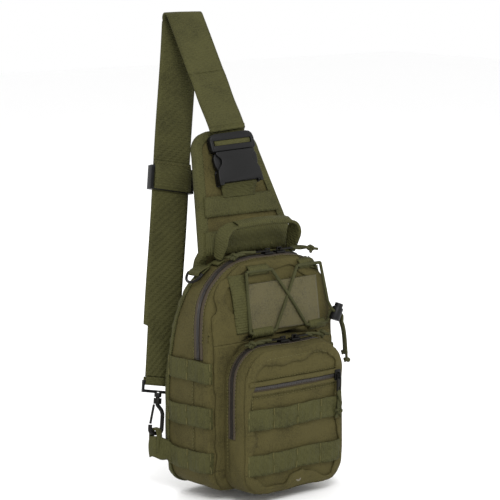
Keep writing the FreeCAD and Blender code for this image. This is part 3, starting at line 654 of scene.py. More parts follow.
class BAG_OT_body_form(bpy.types.Operator):
    """Blow up the main body and the pocket, and keep their surfaces"""
    bl_idname = "bag.body_form"
    bl_label = "Bag forms"

    def execute(self, context):
        half, tall = HALF - 0.001, TALL - 0.001
        bm = arch_block(half, tall, TOP_RADIUS, BOTTOM_RADIUS, FRONT, BACK)
        slice_levels(bm, [0.012 * i for i in range(1, 23)])
        middle = (FRONT + BACK) / 2
        for vert in bm.verts:
            z = vert.co.z
            vert.co.y = back_depth(z) - 0.001 if vert.co.y > middle else front_depth(z) + 0.0008

        def pinned(co):
            rim = min(abs(co.y - back_depth(co.z)), abs(co.y - front_depth(co.z)))
            out = arch_distance(co, half, tall, TOP_RADIUS, BOTTOM_RADIUS)
            seam = max(0.0, 1 - max(rim, out) / 0.007)
            rest = 0.55 if co.z < 0.012 else 0.0
            zip_line = 0.6 * max(0.0, 1 - abs(co.y - ZIP_Y) / 0.007) if co.z > ZIP_END and out < 0.006 else 0.0
            return min(1.0, max(seam, rest, zip_line))

        simulate("body_form", bm, pinned, 4.0, sizes().bulge)
        half, tall = POCKET_HALF - 0.001, POCKET_TALL - 0.001
        bm = arch_block(half, tall, POCKET_RADIUS, BOTTOM_RADIUS, POCKET_FRONT + 0.0005, FRONT + 0.002)
        slice_levels(bm, [0.012 * i for i in range(1, 15)])

        def held(co):
            out = arch_distance(co, half, tall, POCKET_RADIUS, BOTTOM_RADIUS)
            rim = abs(co.y - POCKET_FRONT)
            seam = max(0.0, 1 - max(rim, out) / 0.006)
            root = 1.0 if co.y > FRONT - 0.003 else 0.0
            rest = 0.5 if co.z < 0.01 else 0.0
            zip_line = 0.6 * max(0.0, 1 - abs(co.y - POCKET_ZIP_Y) / 0.006) if co.z > POCKET_ZIP_END else 0.0
            return min(1.0, max(seam, root, rest, zip_line if out < 0.006 else 0.0))

        simulate("pocket_form", bm, held, 3.5, sizes().bulge * 0.8)
        return {"FINISHED"}


def arch_distance(co, half, tall, top, bottom):
    """How far a point is inside the arch outline."""
    x, z = abs(co.x), co.z
    if z > tall - top and x > half - top:
        return top - math.hypot(x - (half - top), z - (tall - top))
    if z < bottom and x > half - bottom:
        return bottom - math.hypot(x - (half - bottom), z - bottom)
    return min(half - x, tall - z, z)


# ---------------------------------------------------------------- body pieces

class BAG_OT_body(bpy.types.Operator):
    """Cut the body's panels, gusset and flap from their form"""
    bl_idname = "bag.body"
    bl_label = "Body"

    def execute(self, context):
        thick = sizes().cloth
        rear = cut_piece("rear_shell", "body_form", [((0, ZIP_Y + 0.007, 0), (0, -1, 0))], thick)
        ride(rear, "bag", "rear_gusset", "back_panel", slot="cordura")
        low = cut_piece("lower_gusset", "body_form",
                        [((0, ZIP_Y + 0.0068, 0), (0, 1, 0)), ((0, ZIP_Y - 0.007, 0), (0, -1, 0)),
                         ((0, 0, ZIP_END), (0, 0, 1))], thick)
        ride(low, "bag", "lower_front_gusset", slot="cordura")
        front = cut_piece("front_shell", "body_form", [((0, ZIP_Y - 0.0068, 0), (0, 1, 0))], thick)
        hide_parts("lower_front_panel", "flap_panel", "flap_gusset")
        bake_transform(front)
        pocket_rear = cut_piece("pocket_side", "pocket_form",
                                [((0, POCKET_ZIP_Y + 0.006, 0), (0, -1, 0)), ((0, FRONT - 0.0006, 0), (0, 1, 0))],
                                thick)
        ride(pocket_rear, "bag", "pocket_gusset", slot="cordura")
        patch = cut_piece("pocket_zip_patch", "pocket_form",
                          [((0, POCKET_ZIP_Y + 0.0058, 0), (0, 1, 0)), ((0, POCKET_ZIP_Y - 0.006, 0), (0, -1, 0)),
                           ((0, 0, POCKET_ZIP_END), (0, 0, 1))], thick)
        ride(patch, "bag", slot="cordura")
        pocket_front = cut_piece("pocket_front", "pocket_form", [((0, POCKET_ZIP_Y - 0.0058, 0), (0, 1, 0))],
                                 thick)
        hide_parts("pocket_lower_front", "pocket_flap_panel", "pocket_flap_gusset")
        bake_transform(pocket_front)
        return {"FINISHED"}


def ring_strip(name, form, half, tall, top, bottom, low, depth, width, lift, material, thick, count=150):
    """A strip that runs round the arch on its gusset, centred at a depth and lifted off the form."""
    path = outline(half, tall, top, bottom, low, count)
    closed = low is None

    def place(u, v):
        index = v * (count if closed else count - 1)
        point, out = path[int(round(index)) % count]
        y = (depth(point.z) if callable(depth) else depth) + (u - 0.5) * width
        start = Vector((point.x, y, point.z)) + out * CAST
        return lay(form, start, -out, lift)

    along = count if closed else count - 1
    length = 0.9
    return band(name, 4, along, place, material, thick, uv=(width, length))


def above(obj, level, keep_low):
    """Cut an object at a height and keep one side, closed where it was cut."""
    bm = bmesh.new()
    bm.from_mesh(obj.data)
    bmesh.ops.bisect_plane(bm, geom=bm.verts[:] + bm.edges[:] + bm.faces[:], plane_co=(0, 0, level),
                           plane_no=(0, 0, 1), clear_outer=keep_low, clear_inner=not keep_low)
    bmesh.ops.holes_fill(bm, edges=[e for e in bm.edges if e.is_boundary], sides=0)
    bm.to_mesh(obj.data)
    bm.free()
    return obj


def twin(obj, name):
    """A copy of an object with a mesh of its own."""
    copy = obj.copy()
    copy.data = obj.data.copy()
    copy.name = name
    bpy.context.scene.collection.objects.link(copy)
    return copy


class BAG_OT_zips(bpy.types.Operator):
    """Sew the zip tapes and coils"""
    bl_idname = "bag.zips"
    bl_label = "Zips"

    def execute(self, context):
        body = ("body_form", HALF, TALL, TOP_RADIUS, BOTTOM_RADIUS)
        pocket = ("pocket_form", POCKET_HALF, POCKET_TALL, POCKET_RADIUS, BOTTOM_RADIUS)
        for shape, middle, low, line, reach, flap, label in (
                (body, ZIP_Y, ZIP_END, FLAP_LINE, 0.0068, "main_flap", "main"),
                (pocket, POCKET_ZIP_Y, POCKET_ZIP_END, POCKET_LINE, 0.0058, "pocket_flap", "pocket")):
            for side, name in ((1, "rear"), (-1, "front")):
                tape = ring_strip(label + "_tape_" + name, *shape, low, middle + side * reach * 0.56,
                                  reach * 1.04, 0.0001, made["tape"], 0.0012)
                coil = ring_strip(label + "_coil_" + name, *shape, low, middle + side * 0.0012, 0.0021, 0.0012,
                                  made["coil"], 0.0016)
                both = join(label + "_zip_" + name, [tape, coil])
                if side > 0:
                    ride(both, "bag", label + "_zip_rear_tape", slot="zip_tape")
                    continue
                foot = above(twin(both, label + "_zip_foot"), line + 0.004, True)
                ride(foot, "bag", slot="zip_tape")
                ride(above(both, line + 0.0042, False), flap, label + "_zip_front_tape", slot="zip_tape")
        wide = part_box("front_zip_tape")
        y = wide[0][1] - 0.03

        def across(low, high, lift):
            def place(u, v):
                x = wide[0][0] + 0.002 + (wide[1][0] - wide[0][0] - 0.004) * v
                return lay("pocket_form", Vector((x, y, low + (high - low) * u)), Vector((0, 1, 0)), lift)
            return place

        low, high = wide[0][2], wide[1][2]
        middle = (low + high) / 2
        pieces = [band("front_tape", 4, 60, across(low, high, 0.0006), made["tape"], 0.0012, uv=(0.012, 0.15)),
                  band("front_coil", 3, 60, across(middle - 0.0018, middle + 0.0018, 0.0016), made["coil"], 0.0016,
                       uv=(0.004, 0.15)),
                  band("front_lip", 3, 60, across(high - 0.0035, high + 0.002, 0.0024), made["fabric"], 0.0018,
                       uv=(0.006, 0.15)),
                  band("front_sill", 3, 60, across(low - 0.002, low + 0.002, 0.0016), made["fabric"], 0.0014,
                       uv=(0.006, 0.15))]
        ride(join("front_zip", pieces), "pocket_flap", "front_zip_tape", slot="zip_tape")
        return {"FINISHED"}


# ---------------------------------------------------------------- webbing rows

def tacked_row(name, form, start, step, up, inwards, length, height, lift=0.0012, gap=None):
    """A webbing row that is tacked at even spaces and stands proud between the tacks.

    `start` is its low corner, `step` the way it runs, `up` the way its height goes, and `inwards` the way to
    the form under it.
    """
    pitch = gap or sizes().tack
    count = max(1, round(length / pitch))

    def place(u, v):
        run = v * count
        swell = abs(math.sin(math.pi * run)) ** 0.6
        sag = 0.0012 * swell * math.sin(run * 2.4 + start.z * 90)
        point = start + step * (length * v) + up * (height * u + sag)
        crease = crumple(point, 75, 0.0011) + 0.0010 * math.sin(math.pi * run * 6) * math.sin(math.pi * u)
        return lay(form, point - inwards * CAST, inwards, max(lift + 0.0022 * swell + crease * swell, 0.001))

    return band(name, 6, count * 12, place, made["webbing"], sizes().webbing, uv=(height, length))


def tacks(form, start, step, up, inwards, length, height, gap=None):
    """The bar tacks that hold a row, two narrow ridges of thread at each."""
    pitch = gap or sizes().tack
    count = max(1, round(length / pitch))
    pieces = []
    for i in range(count + 1):
        for part in (0.18, 0.82):
            middle = start + step * (length * min(max(i / count, 0.012), 0.988)) + up * (height * part)
            line = [lay(form, middle + up * (0.0042 * k) - inwards * CAST, inwards, 0.0026) for k in (-1, 0, 1)]
            pieces.append(solid_tube("tack", line, 0.0007, made["thread"]))
    return pieces


class BAG_OT_webbing(bpy.types.Operator):
    """Sew the webbing rows on the sides, the pocket and the flap"""
    bl_idname = "bag.webbing"
    bl_label = "Webbing rows"

    def execute(self, context):
        pieces = []
        for side in (-1, 1):
            for row in range(3):
                start = Vector((side * HALF, FRONT + 0.002, 0.026 + ROW_PITCH * row))
                spot = (start, Vector((0, 1, 0)), Vector((0, 0, 1)), Vector((-side, 0, 0)), SIDE_ROW, ROW_HEIGHT)
                pieces.append(tacked_row("row", "body_form", *spot))
                pieces += tacks("body_form", *spot)
        right, up, inwards = Vector((1, 0, 0)), Vector((0, 0, 1)), Vector((0, 1, 0))
        low_row = Vector((-0.075, POCKET_FRONT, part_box("fixed_webbing")[0][2] + 0.001))
        pieces.append(tacked_row("row", "pocket_form", low_row, right, up, inwards, POCKET_ROW, ROW_HEIGHT))
        pieces += tacks("pocket_form", low_row, right, up, inwards, POCKET_ROW, ROW_HEIGHT)
        ride(join("fixed_rows", pieces), "bag", "fixed_webbing", slot="webbing")
        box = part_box("pocket_webbing_upper")
        high_row = Vector((box[0][0] + 0.003, POCKET_FRONT, box[0][2]))
        wide = box[1][0] - box[0][0] - 0.006
        upper = [tacked_row("row", "pocket_form", high_row, right, up, inwards, wide, ROW_HEIGHT)]
        upper += tacks("pocket_form", high_row, right, up, inwards, wide, ROW_HEIGHT)
        ride(join("pocket_row", upper), "pocket_flap", "pocket_webbing_upper", slot="webbing")
        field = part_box("loop_field")

        def over(u, v):
            start = Vector((field[0][0] + (field[1][0] - field[0][0]) * v, FRONT - 0.04,
                            field[0][2] + (field[1][2] - field[0][2]) * u))
            return lay("body_form", start, Vector((0, 1, 0)), 0.0026)

        loop = band("loop_panel", 24, 44, over, made["pile"], 0.0018, uv=(0.058, 0.116))
        ride(loop, "main_flap", "loop_field", slot="loop_pile")
        strip = [band("strip", 4, 30, lambda u, v: lay(
            "body_form", Vector((-0.066 + 0.024 * u + 0.007 * (1 - v), FRONT - 0.04, 0.192 + 0.07 * v)),
            Vector((0, 1, 0)), 0.0030), made["webbing"], 0.0018, uv=(0.025, 0.07))]
        for x, width, z in ((-0.037, 0.032, 0.262), (0.044, 0.030, 0.262),
                            (-0.037, 0.032, 0.187), (0.053, 0.028, 0.187)):
            def tab(u, v, x=x, width=width, z=z):
                arc = math.sin(math.pi * u)
                start = Vector((x + width * v, FRONT - 0.04, z - 0.002 + 0.011 * u))
                return lay("body_form", start, Vector((0, 1, 0)), 0.0016 + 0.0052 * arc ** 0.7)
            strip.append(band("tab", 10, 10, tab, made["webbing"], 0.0016, uv=(0.011, width)))
        ride(join("flap_webbing", strip), "main_flap", "front_webbing", slot="webbing")
        return {"FINISHED"}


# ---------------------------------------------------------------- binding and seams

class BAG_OT_seams(bpy.types.Operator):
    """Bind the back edge and run the stitched seams"""
    bl_idname = "bag.seams"
    bl_label = "Binding and seams"

    def execute(self, context):
        def rim(z):
            return back_depth(z) - 0.0045

        binding = ring_strip("binding", "body_form", HALF, TALL, TOP_RADIUS, BOTTOM_RADIUS, None, rim, 0.0095,
                             0.0012, made["webbing"], 0.0024, count=180)
        ride(binding, "bag", "edge_binding", slot="webbing")
        bag, flap, pocket_bag, pocket_flap = [], [], [], []

        def around(form, half, tall, top, bottom, low, depth, lift=0.0007, count=200):
            lines = []
            for point, out in outline(half, tall, top, bottom, low, count):
                y = depth(point.z) if callable(depth) else depth
                lines.append(lay(form, Vector((point.x, y, point.z)) + out * CAST, -out, lift))
            return lines

        body = (HALF, TALL, TOP_RADIUS, BOTTOM_RADIUS)
        pocket = (POCKET_HALF, POCKET_TALL, POCKET_RADIUS, BOTTOM_RADIUS)
        bag.append(stitch_line("s", around("body_form", *body, 0.03, lambda z: ZIP_Y + 0.0085)))
        flap.append(stitch_line("s", around("body_form", *body, FLAP_LINE + 0.006, lambda z: ZIP_Y - 0.0082)))
        pocket_bag.append(stitch_line("s", around("pocket_form", *pocket, 0.03, POCKET_ZIP_Y + 0.0075)))
        pocket_flap.append(stitch_line("s", around("pocket_form", *pocket, POCKET_LINE + 0.008,
                                                   POCKET_ZIP_Y - 0.0072)))
        pipe = ring_strip("pipe", "body_form", *body, None, front_depth, 0.0026, 0.0012,
                          made["fabric"], 0.0024, 220)
        bag.append(above(twin(pipe, "pipe_low"), FLAP_LINE + 0.002, True))
        flap.append(above(pipe, FLAP_LINE + 0.0022, False))
        edge = ring_strip("edge", "pocket_form", *pocket, None, POCKET_FRONT + 0.0008, 0.0024, 0.0012,
                          made["fabric"], 0.0024, 200)
        pocket_bag.append(above(twin(edge, "edge_low"), POCKET_LINE + 0.002, True))
        pocket_flap.append(above(edge, POCKET_LINE + 0.0022, False))
        flat = Vector((0, 1, 0))
        inner = [lay("pocket_form", Vector((point.x, POCKET_FRONT - CAST, point.z)), flat, 0.0008)
                 for point, _ in outline(POCKET_HALF - 0.011, POCKET_TALL - 0.012, 0.030, BOTTOM_RADIUS,
                                         POCKET_LINE + 0.01, 160)]
        near = [inner[max(i - 4, 0):i + 5] for i in range(len(inner))]
        calm = [sum(few, Vector()) / len(few) for few in near]
        pocket_flap.append(stitch_line("s", [point + Vector((0, -0.0012, 0)) for point in calm]))

        def run(form, x0, z0, x1, z1, y, count=30):
            return [lay(form, Vector((x0 + (x1 - x0) * i / count, y, z0 + (z1 - z0) * i / count)), flat, 0.0007)
                    for i in range(count + 1)]

        for z in (0.1245, 0.1215):
            pocket_flap.append(stitch_line("s", run("pocket_form", -0.074, z, 0.074, z, POCKET_FRONT - CAST)))
        pocket_flap.append(stitch_line("s", run("pocket_form", -0.074, 0.1425, 0.074, 0.1425,
                                                POCKET_FRONT - CAST)))
        flap.append(stitch_line("s", run("body_form", -0.042, 0.2505, 0.072, 0.2505, FRONT - CAST)))
        ride(join("bag_seams", bag + pocket_bag), "bag", slot="webbing")
        ride(join("flap_seams", flap), "main_flap", slot="webbing")
        ride(join("pocket_flap_seams", pocket_flap), "pocket_flap", slot="webbing")
        return {"FINISHED"}


# ---------------------------------------------------------------- back, inside and yoke

class BAG_OT_back(bpy.types.Operator):
    """Make the back pads and the divider inside"""
    bl_idname = "bag.back"
    bl_label = "Back and inside"

    def execute(self, context):
        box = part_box("back_pads")
        pads = []
        for side in (-1, 1):
            def place(u, v, side=side):
                x = side * (0.012 + 0.068 * u)
                z = box[0][2] + (box[1][2] - box[0][2]) * v
                crown = min(u, 1 - u, (1 - abs(2 * v - 1)) * 0.9) * 2
                swell = 0.0055 * min(1.0, crown * 2.2) ** 0.5
                return lay("body_form", Vector((x, BACK + 0.04, z)), Vector((0, -1, 0)), 0.0008 + swell)
            pads.append(band("pad", 20, 34, place, made["pile"], 0.0015, uv=(0.068, 0.12)))
        back = join("back_cushions", pads)
        ride(back, "bag", "back_pads", slot="mesh_pad")
        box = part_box("inner_divider")

        def sheet(u, v):
            x = box[0][0] + (box[1][0] - box[0][0]) * u
            z = box[0][2] + (box[1][2] - box[0][2]) * v
            sag = 0.003 * math.sin(math.pi * u) * v
            return Vector((x, (box[0][1] + box[1][1]) / 2 - sag, z))

        divider = band("divider", 20, 20, sheet, made["fabric"], 0.0014, uv=(0.16, 0.15))
        ride(divider, "bag", "inner_divider", slot="lining")
        return {"FINISHED"}


YOKE_BASE = Vector((0, 0.007, TALL))
YOKE_LENGTH = 0.154
YOKE_HALF, YOKE_TOP_HALF, YOKE_RADIUS = 0.074, 0.049, 0.027


def yoke_half(v):
    """Half the yoke's width at a distance up it."""
    straight = YOKE_LENGTH - YOKE_RADIUS
    if v < straight:
        return YOKE_HALF + (YOKE_TOP_HALF - YOKE_HALF) * max(v, 0) / straight
    rise = min(v - straight, YOKE_RADIUS)
    return YOKE_TOP_HALF - YOKE_RADIUS + math.sqrt(max(YOKE_RADIUS ** 2 - rise ** 2, 0))


def yoke_point(x, v, off=0.0):
    """A point on the yoke's middle surface, `v` up it and `off` behind it."""
    up, back = BUCKLE_UP, Vector((0, BUCKLE_UP.z, -BUCKLE_UP.y))
    if v >= 0.006:
        return YOKE_BASE + Vector((x, 0, 0)) + up * v + back * off
    lean = Vector((0, (BACK_TOP - BACK) / (TALL - BACK_KNEE), 1)).normalized()
    down = YOKE_BASE + Vector((x, 0, 0)) + up * 0.006 + lean * (v - 0.006)
    return down + Vector((0, lean.z, -lean.y)) * (off + 0.0035 * min(1, (0.006 - v) / 0.012))


class BAG_OT_yoke(bpy.types.Operator):
    """Make the yoke panel with its binding, rows and anchor"""
    bl_idname = "bag.yoke"
    bl_label = "Yoke"

    def execute(self, context):
        def face(off):
            def place(u, v):
                along = -0.022 + (YOKE_LENGTH + 0.022) * v
                x = yoke_half(along) * (2 * u - 1)
                edge = max(0.0, 1 - abs(2 * u - 1)) * 2.5
                crown = min(1.0, edge, (1 - v) * 9) ** 0.5
                wave = crumple(Vector((x, along, off)), 18, 0.0012)
                return yoke_point(x, along, off * crown + wave * crown)
            return place

        front = band("yoke_front", 30, 44, face(-0.0036), made["fabric"], 0.0008, uv=(0.14, 0.17))
        rear = band("yoke_rear", 30, 44, face(0.0036), made["fabric"], 0.0008, uv=(0.14, 0.17))
        rim = []
        for i in range(50):
            rim.append(Vector((-yoke_half(-0.020 + (YOKE_LENGTH - YOKE_RADIUS + 0.020) * i / 50),
                               -0.020 + (YOKE_LENGTH - YOKE_RADIUS + 0.020) * i / 50)))
        for i in range(13):
            angle = math.pi - math.pi / 2 * i / 12
            rim.append(Vector((YOKE_RADIUS - YOKE_TOP_HALF + YOKE_RADIUS * math.cos(angle),
                               YOKE_LENGTH - YOKE_RADIUS + YOKE_RADIUS * math.sin(angle))))
        rim += [Vector((-point.x, point.y)) for point in reversed(rim)]

        def fold(u, v):
            at = v * (len(rim) - 1)
            index = min(int(at), len(rim) - 2)
            point = rim[index].lerp(rim[index + 1], at - index)
            way = (rim[min(index + 2, len(rim) - 1)] - rim[max(index - 1, 0)]).normalized()
            inward = Vector((way.y, -way.x))
            across = 2 * u - 1
            deep = max(abs(across) - 0.14, 0) / 0.86 * 0.0105
            off = max(-1.0, min(1.0, across / 0.14)) * 0.0046
            spot = point + inward * (deep - 0.0008)
            return yoke_point(spot.x, spot.y, off)

        edge = band("yoke_edge", 16, 220, fold, made["webbing"], 0.0012, uv=(0.026, 0.45))
        panel = join("yoke", [front, rear, edge])
        ride(panel, "bag", "yoke_panel", slot="cordura")

        rows = []
        for low, inset in ((0.005, 0.004), (0.048, 0.006)):
            def place(u, v, low=low, inset=inset):
                along = low + 0.025 * u
                half = yoke_half(along) - inset
                x = half * (2 * v - 1)
                swell = abs(math.sin(math.pi * v * 2)) ** 0.6
                return yoke_point(x, along, -0.0056 - 0.0009 * swell)
            rows.append(band("yoke_row", 6, 56, place, made["webbing"], 0.0016, uv=(0.025, 0.13)))
            for i in (1, 3):
                for part in (0.2, 0.5, 0.8):
                    x = (yoke_half(low) - inset) * (2 * i / 4 - 1)
                    line = [yoke_point(x, low + 0.025 * part + 0.004 * k, -0.0066) for k in (-1, 0, 1)]
                    rows.append(solid_tube("tack", line, 0.0007, made["thread"]))
        ride(join("yoke_rows", rows), "bag", "yoke_webbing", slot="webbing")

        def anchor(u, v):
            low = yoke_point(0, 0.070, -0.0068)
            high = BUCKLE_AT + BUCKLE_UP * -0.0615 + BUCKLE_BACK * 0.0005
            turn = v * v * (3 - 2 * v)
            way = Vector((1, 0, 0)).lerp(BUCKLE_SIDE, turn).normalized()
            return low.lerp(high, v) + way * (0.05 * (u - 0.5)) + BUCKLE_BACK * 0.002 * math.sin(math.pi * v)

        web = band("anchor_web", 8, 16, anchor, made["webbing"], 0.002, uv=(0.05, 0.03))
        ride(web, "bag", "buckle_anchor_webbing", slot="webbing")
        return {"FINISHED"}


# ---------------------------------------------------------------- strap

STRAP_WIDTH = 0.050
SLACK = 0.080


def strap_side(along, turn):
    side = Vector((math.cos(math.radians(turn)), -math.sin(math.radians(turn)), 0))
    return (side - along * side.dot(along)).normalized()


# Where the strap narrows, as a share of its fall to the hook, and its width from there on.
NARROW, FOOT_WIDTH = 0.885, 0.038


class BAG_OT_strap(bpy.types.Operator):
    """Lay the strap from the buckle over its fold and down to the hook"""
    bl_idname = "bag.strap"
    bl_label = "Strap"

    def execute(self, context):
        start = BUCKLE_AT + BUCKLE_UP * 0.004
        fold = Vector((0, 0.131, 0.565))
        rise = (fold - start).normalized()
        side = strap_side(rise, 10)
        radius = 0.006
        down = -STRAP_UP
        slack_end = start + rise * SLACK
        ripple = 0.0006

        def slack(u, v):
            centre = start.lerp(slack_end, v) + side.cross(rise) * ripple * math.sin(v * 9)
            return centre + side * (STRAP_WIDTH * (u - 0.5))

        piece = band("slack_strap", 10, 40, slack, made["webbing"], 0.0022, uv=(STRAP_WIDTH, SLACK))
        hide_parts("strap_slack_end")
        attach(piece, "bag")
        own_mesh(piece)

        outward = rise
        across = side
        normal = across.cross(outward)
        if normal.dot(down) > 0:
            normal = -normal
        turn = math.acos(rise.dot(down))
        line = [(slack_end, rise), (fold - rise * 0.02, rise), (fold, rise)]
        for step in range(1, 11):
            angle = turn * step / 10
            way = outward * math.cos(angle) - normal * math.sin(angle)
            bend = fold + outward * (radius * math.sin(angle)) - normal * (radius * (1 - math.cos(angle)))
            line.append((bend, way))
        last = line[-1][0]
        foot = HOOK_AT + HOOK_UP * 0.006
        run = foot - last
        for part in (0.02, 0.1, 0.2, 0.3, 0.4, 0.5, 0.6, 0.7, 0.8, 0.85, NARROW, NARROW + 0.007, 0.95, 1.0):
            line.append((last + run * part, run.normalized()))
        lengths = [0.0]
        for (a, _), (b, _) in zip(line, line[1:]):
            lengths.append(lengths[-1] + (b - a).length)
        total = lengths[-1]

        def strip(u, v):
            at = v * total
            index = max(i for i, reach in enumerate(lengths) if reach <= at + 1e-9)
            index = min(index, len(line) - 2)
            share = (at - lengths[index]) / max(lengths[index + 1] - lengths[index], 1e-9)
            centre = line[index][0].lerp(line[index + 1][0], share)
            way = line[index][1].lerp(line[index + 1][1], share).normalized()
            width = STRAP_WIDTH if at < total * NARROW else FOOT_WIDTH
            this_side = strap_side(way, 10)
            curl = 0.0008 * math.sin(at * 31) * min(1.0, at * 12)
            out = this_side.cross(way)
            bow = 0.0008 * (1 - (2 * u - 1) ** 2) * math.sin(at * 17 + 1)
            return centre + this_side * (width * (u - 0.5)) + out * (curl + bow)

        strap = band("strap", 10, 300, strip, made["webbing"], 0.0022, uv=(STRAP_WIDTH, total))
        way = run.normalized()
        this_side = strap_side(way, 10)
        out = this_side.cross(way)

        def doubled(u, v):
            centre = last + run * (NARROW + (1 - NARROW) * v)
            arc = math.sin(math.pi * u) ** 0.3
            return centre + this_side * (0.036 * (u - 0.5)) + out * 0.0034 * arc

        layers = [strap, band("foot_layer", 8, 30, doubled, made["webbing"], 0.002, uv=(0.036, 0.05))]
        ride(join("main_strap", layers), "bag", slot="webbing")
        self.fold_loop()
        return {"FINISHED"}

    def fold_loop(self):
        """The turned end of the strap round the lower ring's bar."""
        bar = HOOK_AT
        side = strap_side(-HOOK_UP, 10)
        out = side.cross(HOOK_UP)

        def place(u, v):
            radius = 0.0034
            if v < 0.25:
                point = bar + out * -radius + HOOK_UP * (0.006 * (1 - v / 0.25))
            elif v > 0.75:
                point = bar + out * radius + HOOK_UP * (0.006 * ((v - 0.75) / 0.25))
            else:
                angle = math.pi + math.pi * (v - 0.25) / 0.5
                point = bar + out * (radius * math.cos(angle)) + HOOK_UP * (radius * math.sin(angle))
            return point + side * (FOOT_WIDTH * (u - 0.5))

        loop = band("foot_loop", 8, 24, place, made["webbing"], 0.0016, uv=(0.038, 0.03))
        ride(loop, "bag", "strap_webbing", slot="webbing")
        route = [(-0.0030, -0.0150), (-0.0036, -0.0125), (-0.0034, -0.0095), (0.0, -0.0078), (0.0050, -0.0078),
                 (0.0068, -0.0050), (0.0066, 0.0), (0.0035, 0.0035), (0.0006, 0.0062), (0.0, 0.0105)]

        def around(u, v):
            y, z = on_path(route, v)
            return BUCKLE_AT + BUCKLE_UP * z + BUCKLE_BACK * y + BUCKLE_SIDE * (STRAP_WIDTH * (u - 0.5))

        sleeve = band("buckle_loop", 8, 36, around, made["webbing"], 0.0018, uv=(0.05, 0.04))
        ride(sleeve, "release_buckle", "strap_buckle_loop", slot="webbing")
        self.glide_cover()

    def glide_cover(self):
        """The sewn end of the strap that hides the glide's front, with the seam above it."""
        side = strap_side(-STRAP_UP, 10)
        out = side.cross(STRAP_UP)
        if out.y > 0:
            out = -out

        def place(u, v):
            high = -0.0145 + 0.036 * v
            if v <= 0.1:
                lift = 0.0034 + 0.032 * v
            elif v < 0.6:
                lift = 0.0066
            else:
                lift = 0.0066 - 0.0042 * (v - 0.6) / 0.4
            return GLIDE_AT + STRAP_UP * high + out * lift + side * (STRAP_WIDTH * (u - 0.5))

        cover = band("cover", 8, 24, place, made["webbing"], 0.0018, uv=(STRAP_WIDTH, 0.036))
        line = [GLIDE_AT + STRAP_UP * 0.0185 + out * 0.0046 + side * (STRAP_WIDTH * (i / 20 - 0.5))
                for i in range(21)]
        ride(join("glide_cover", [cover, stitch_line("s", line)]), "glide", slot="webbing")


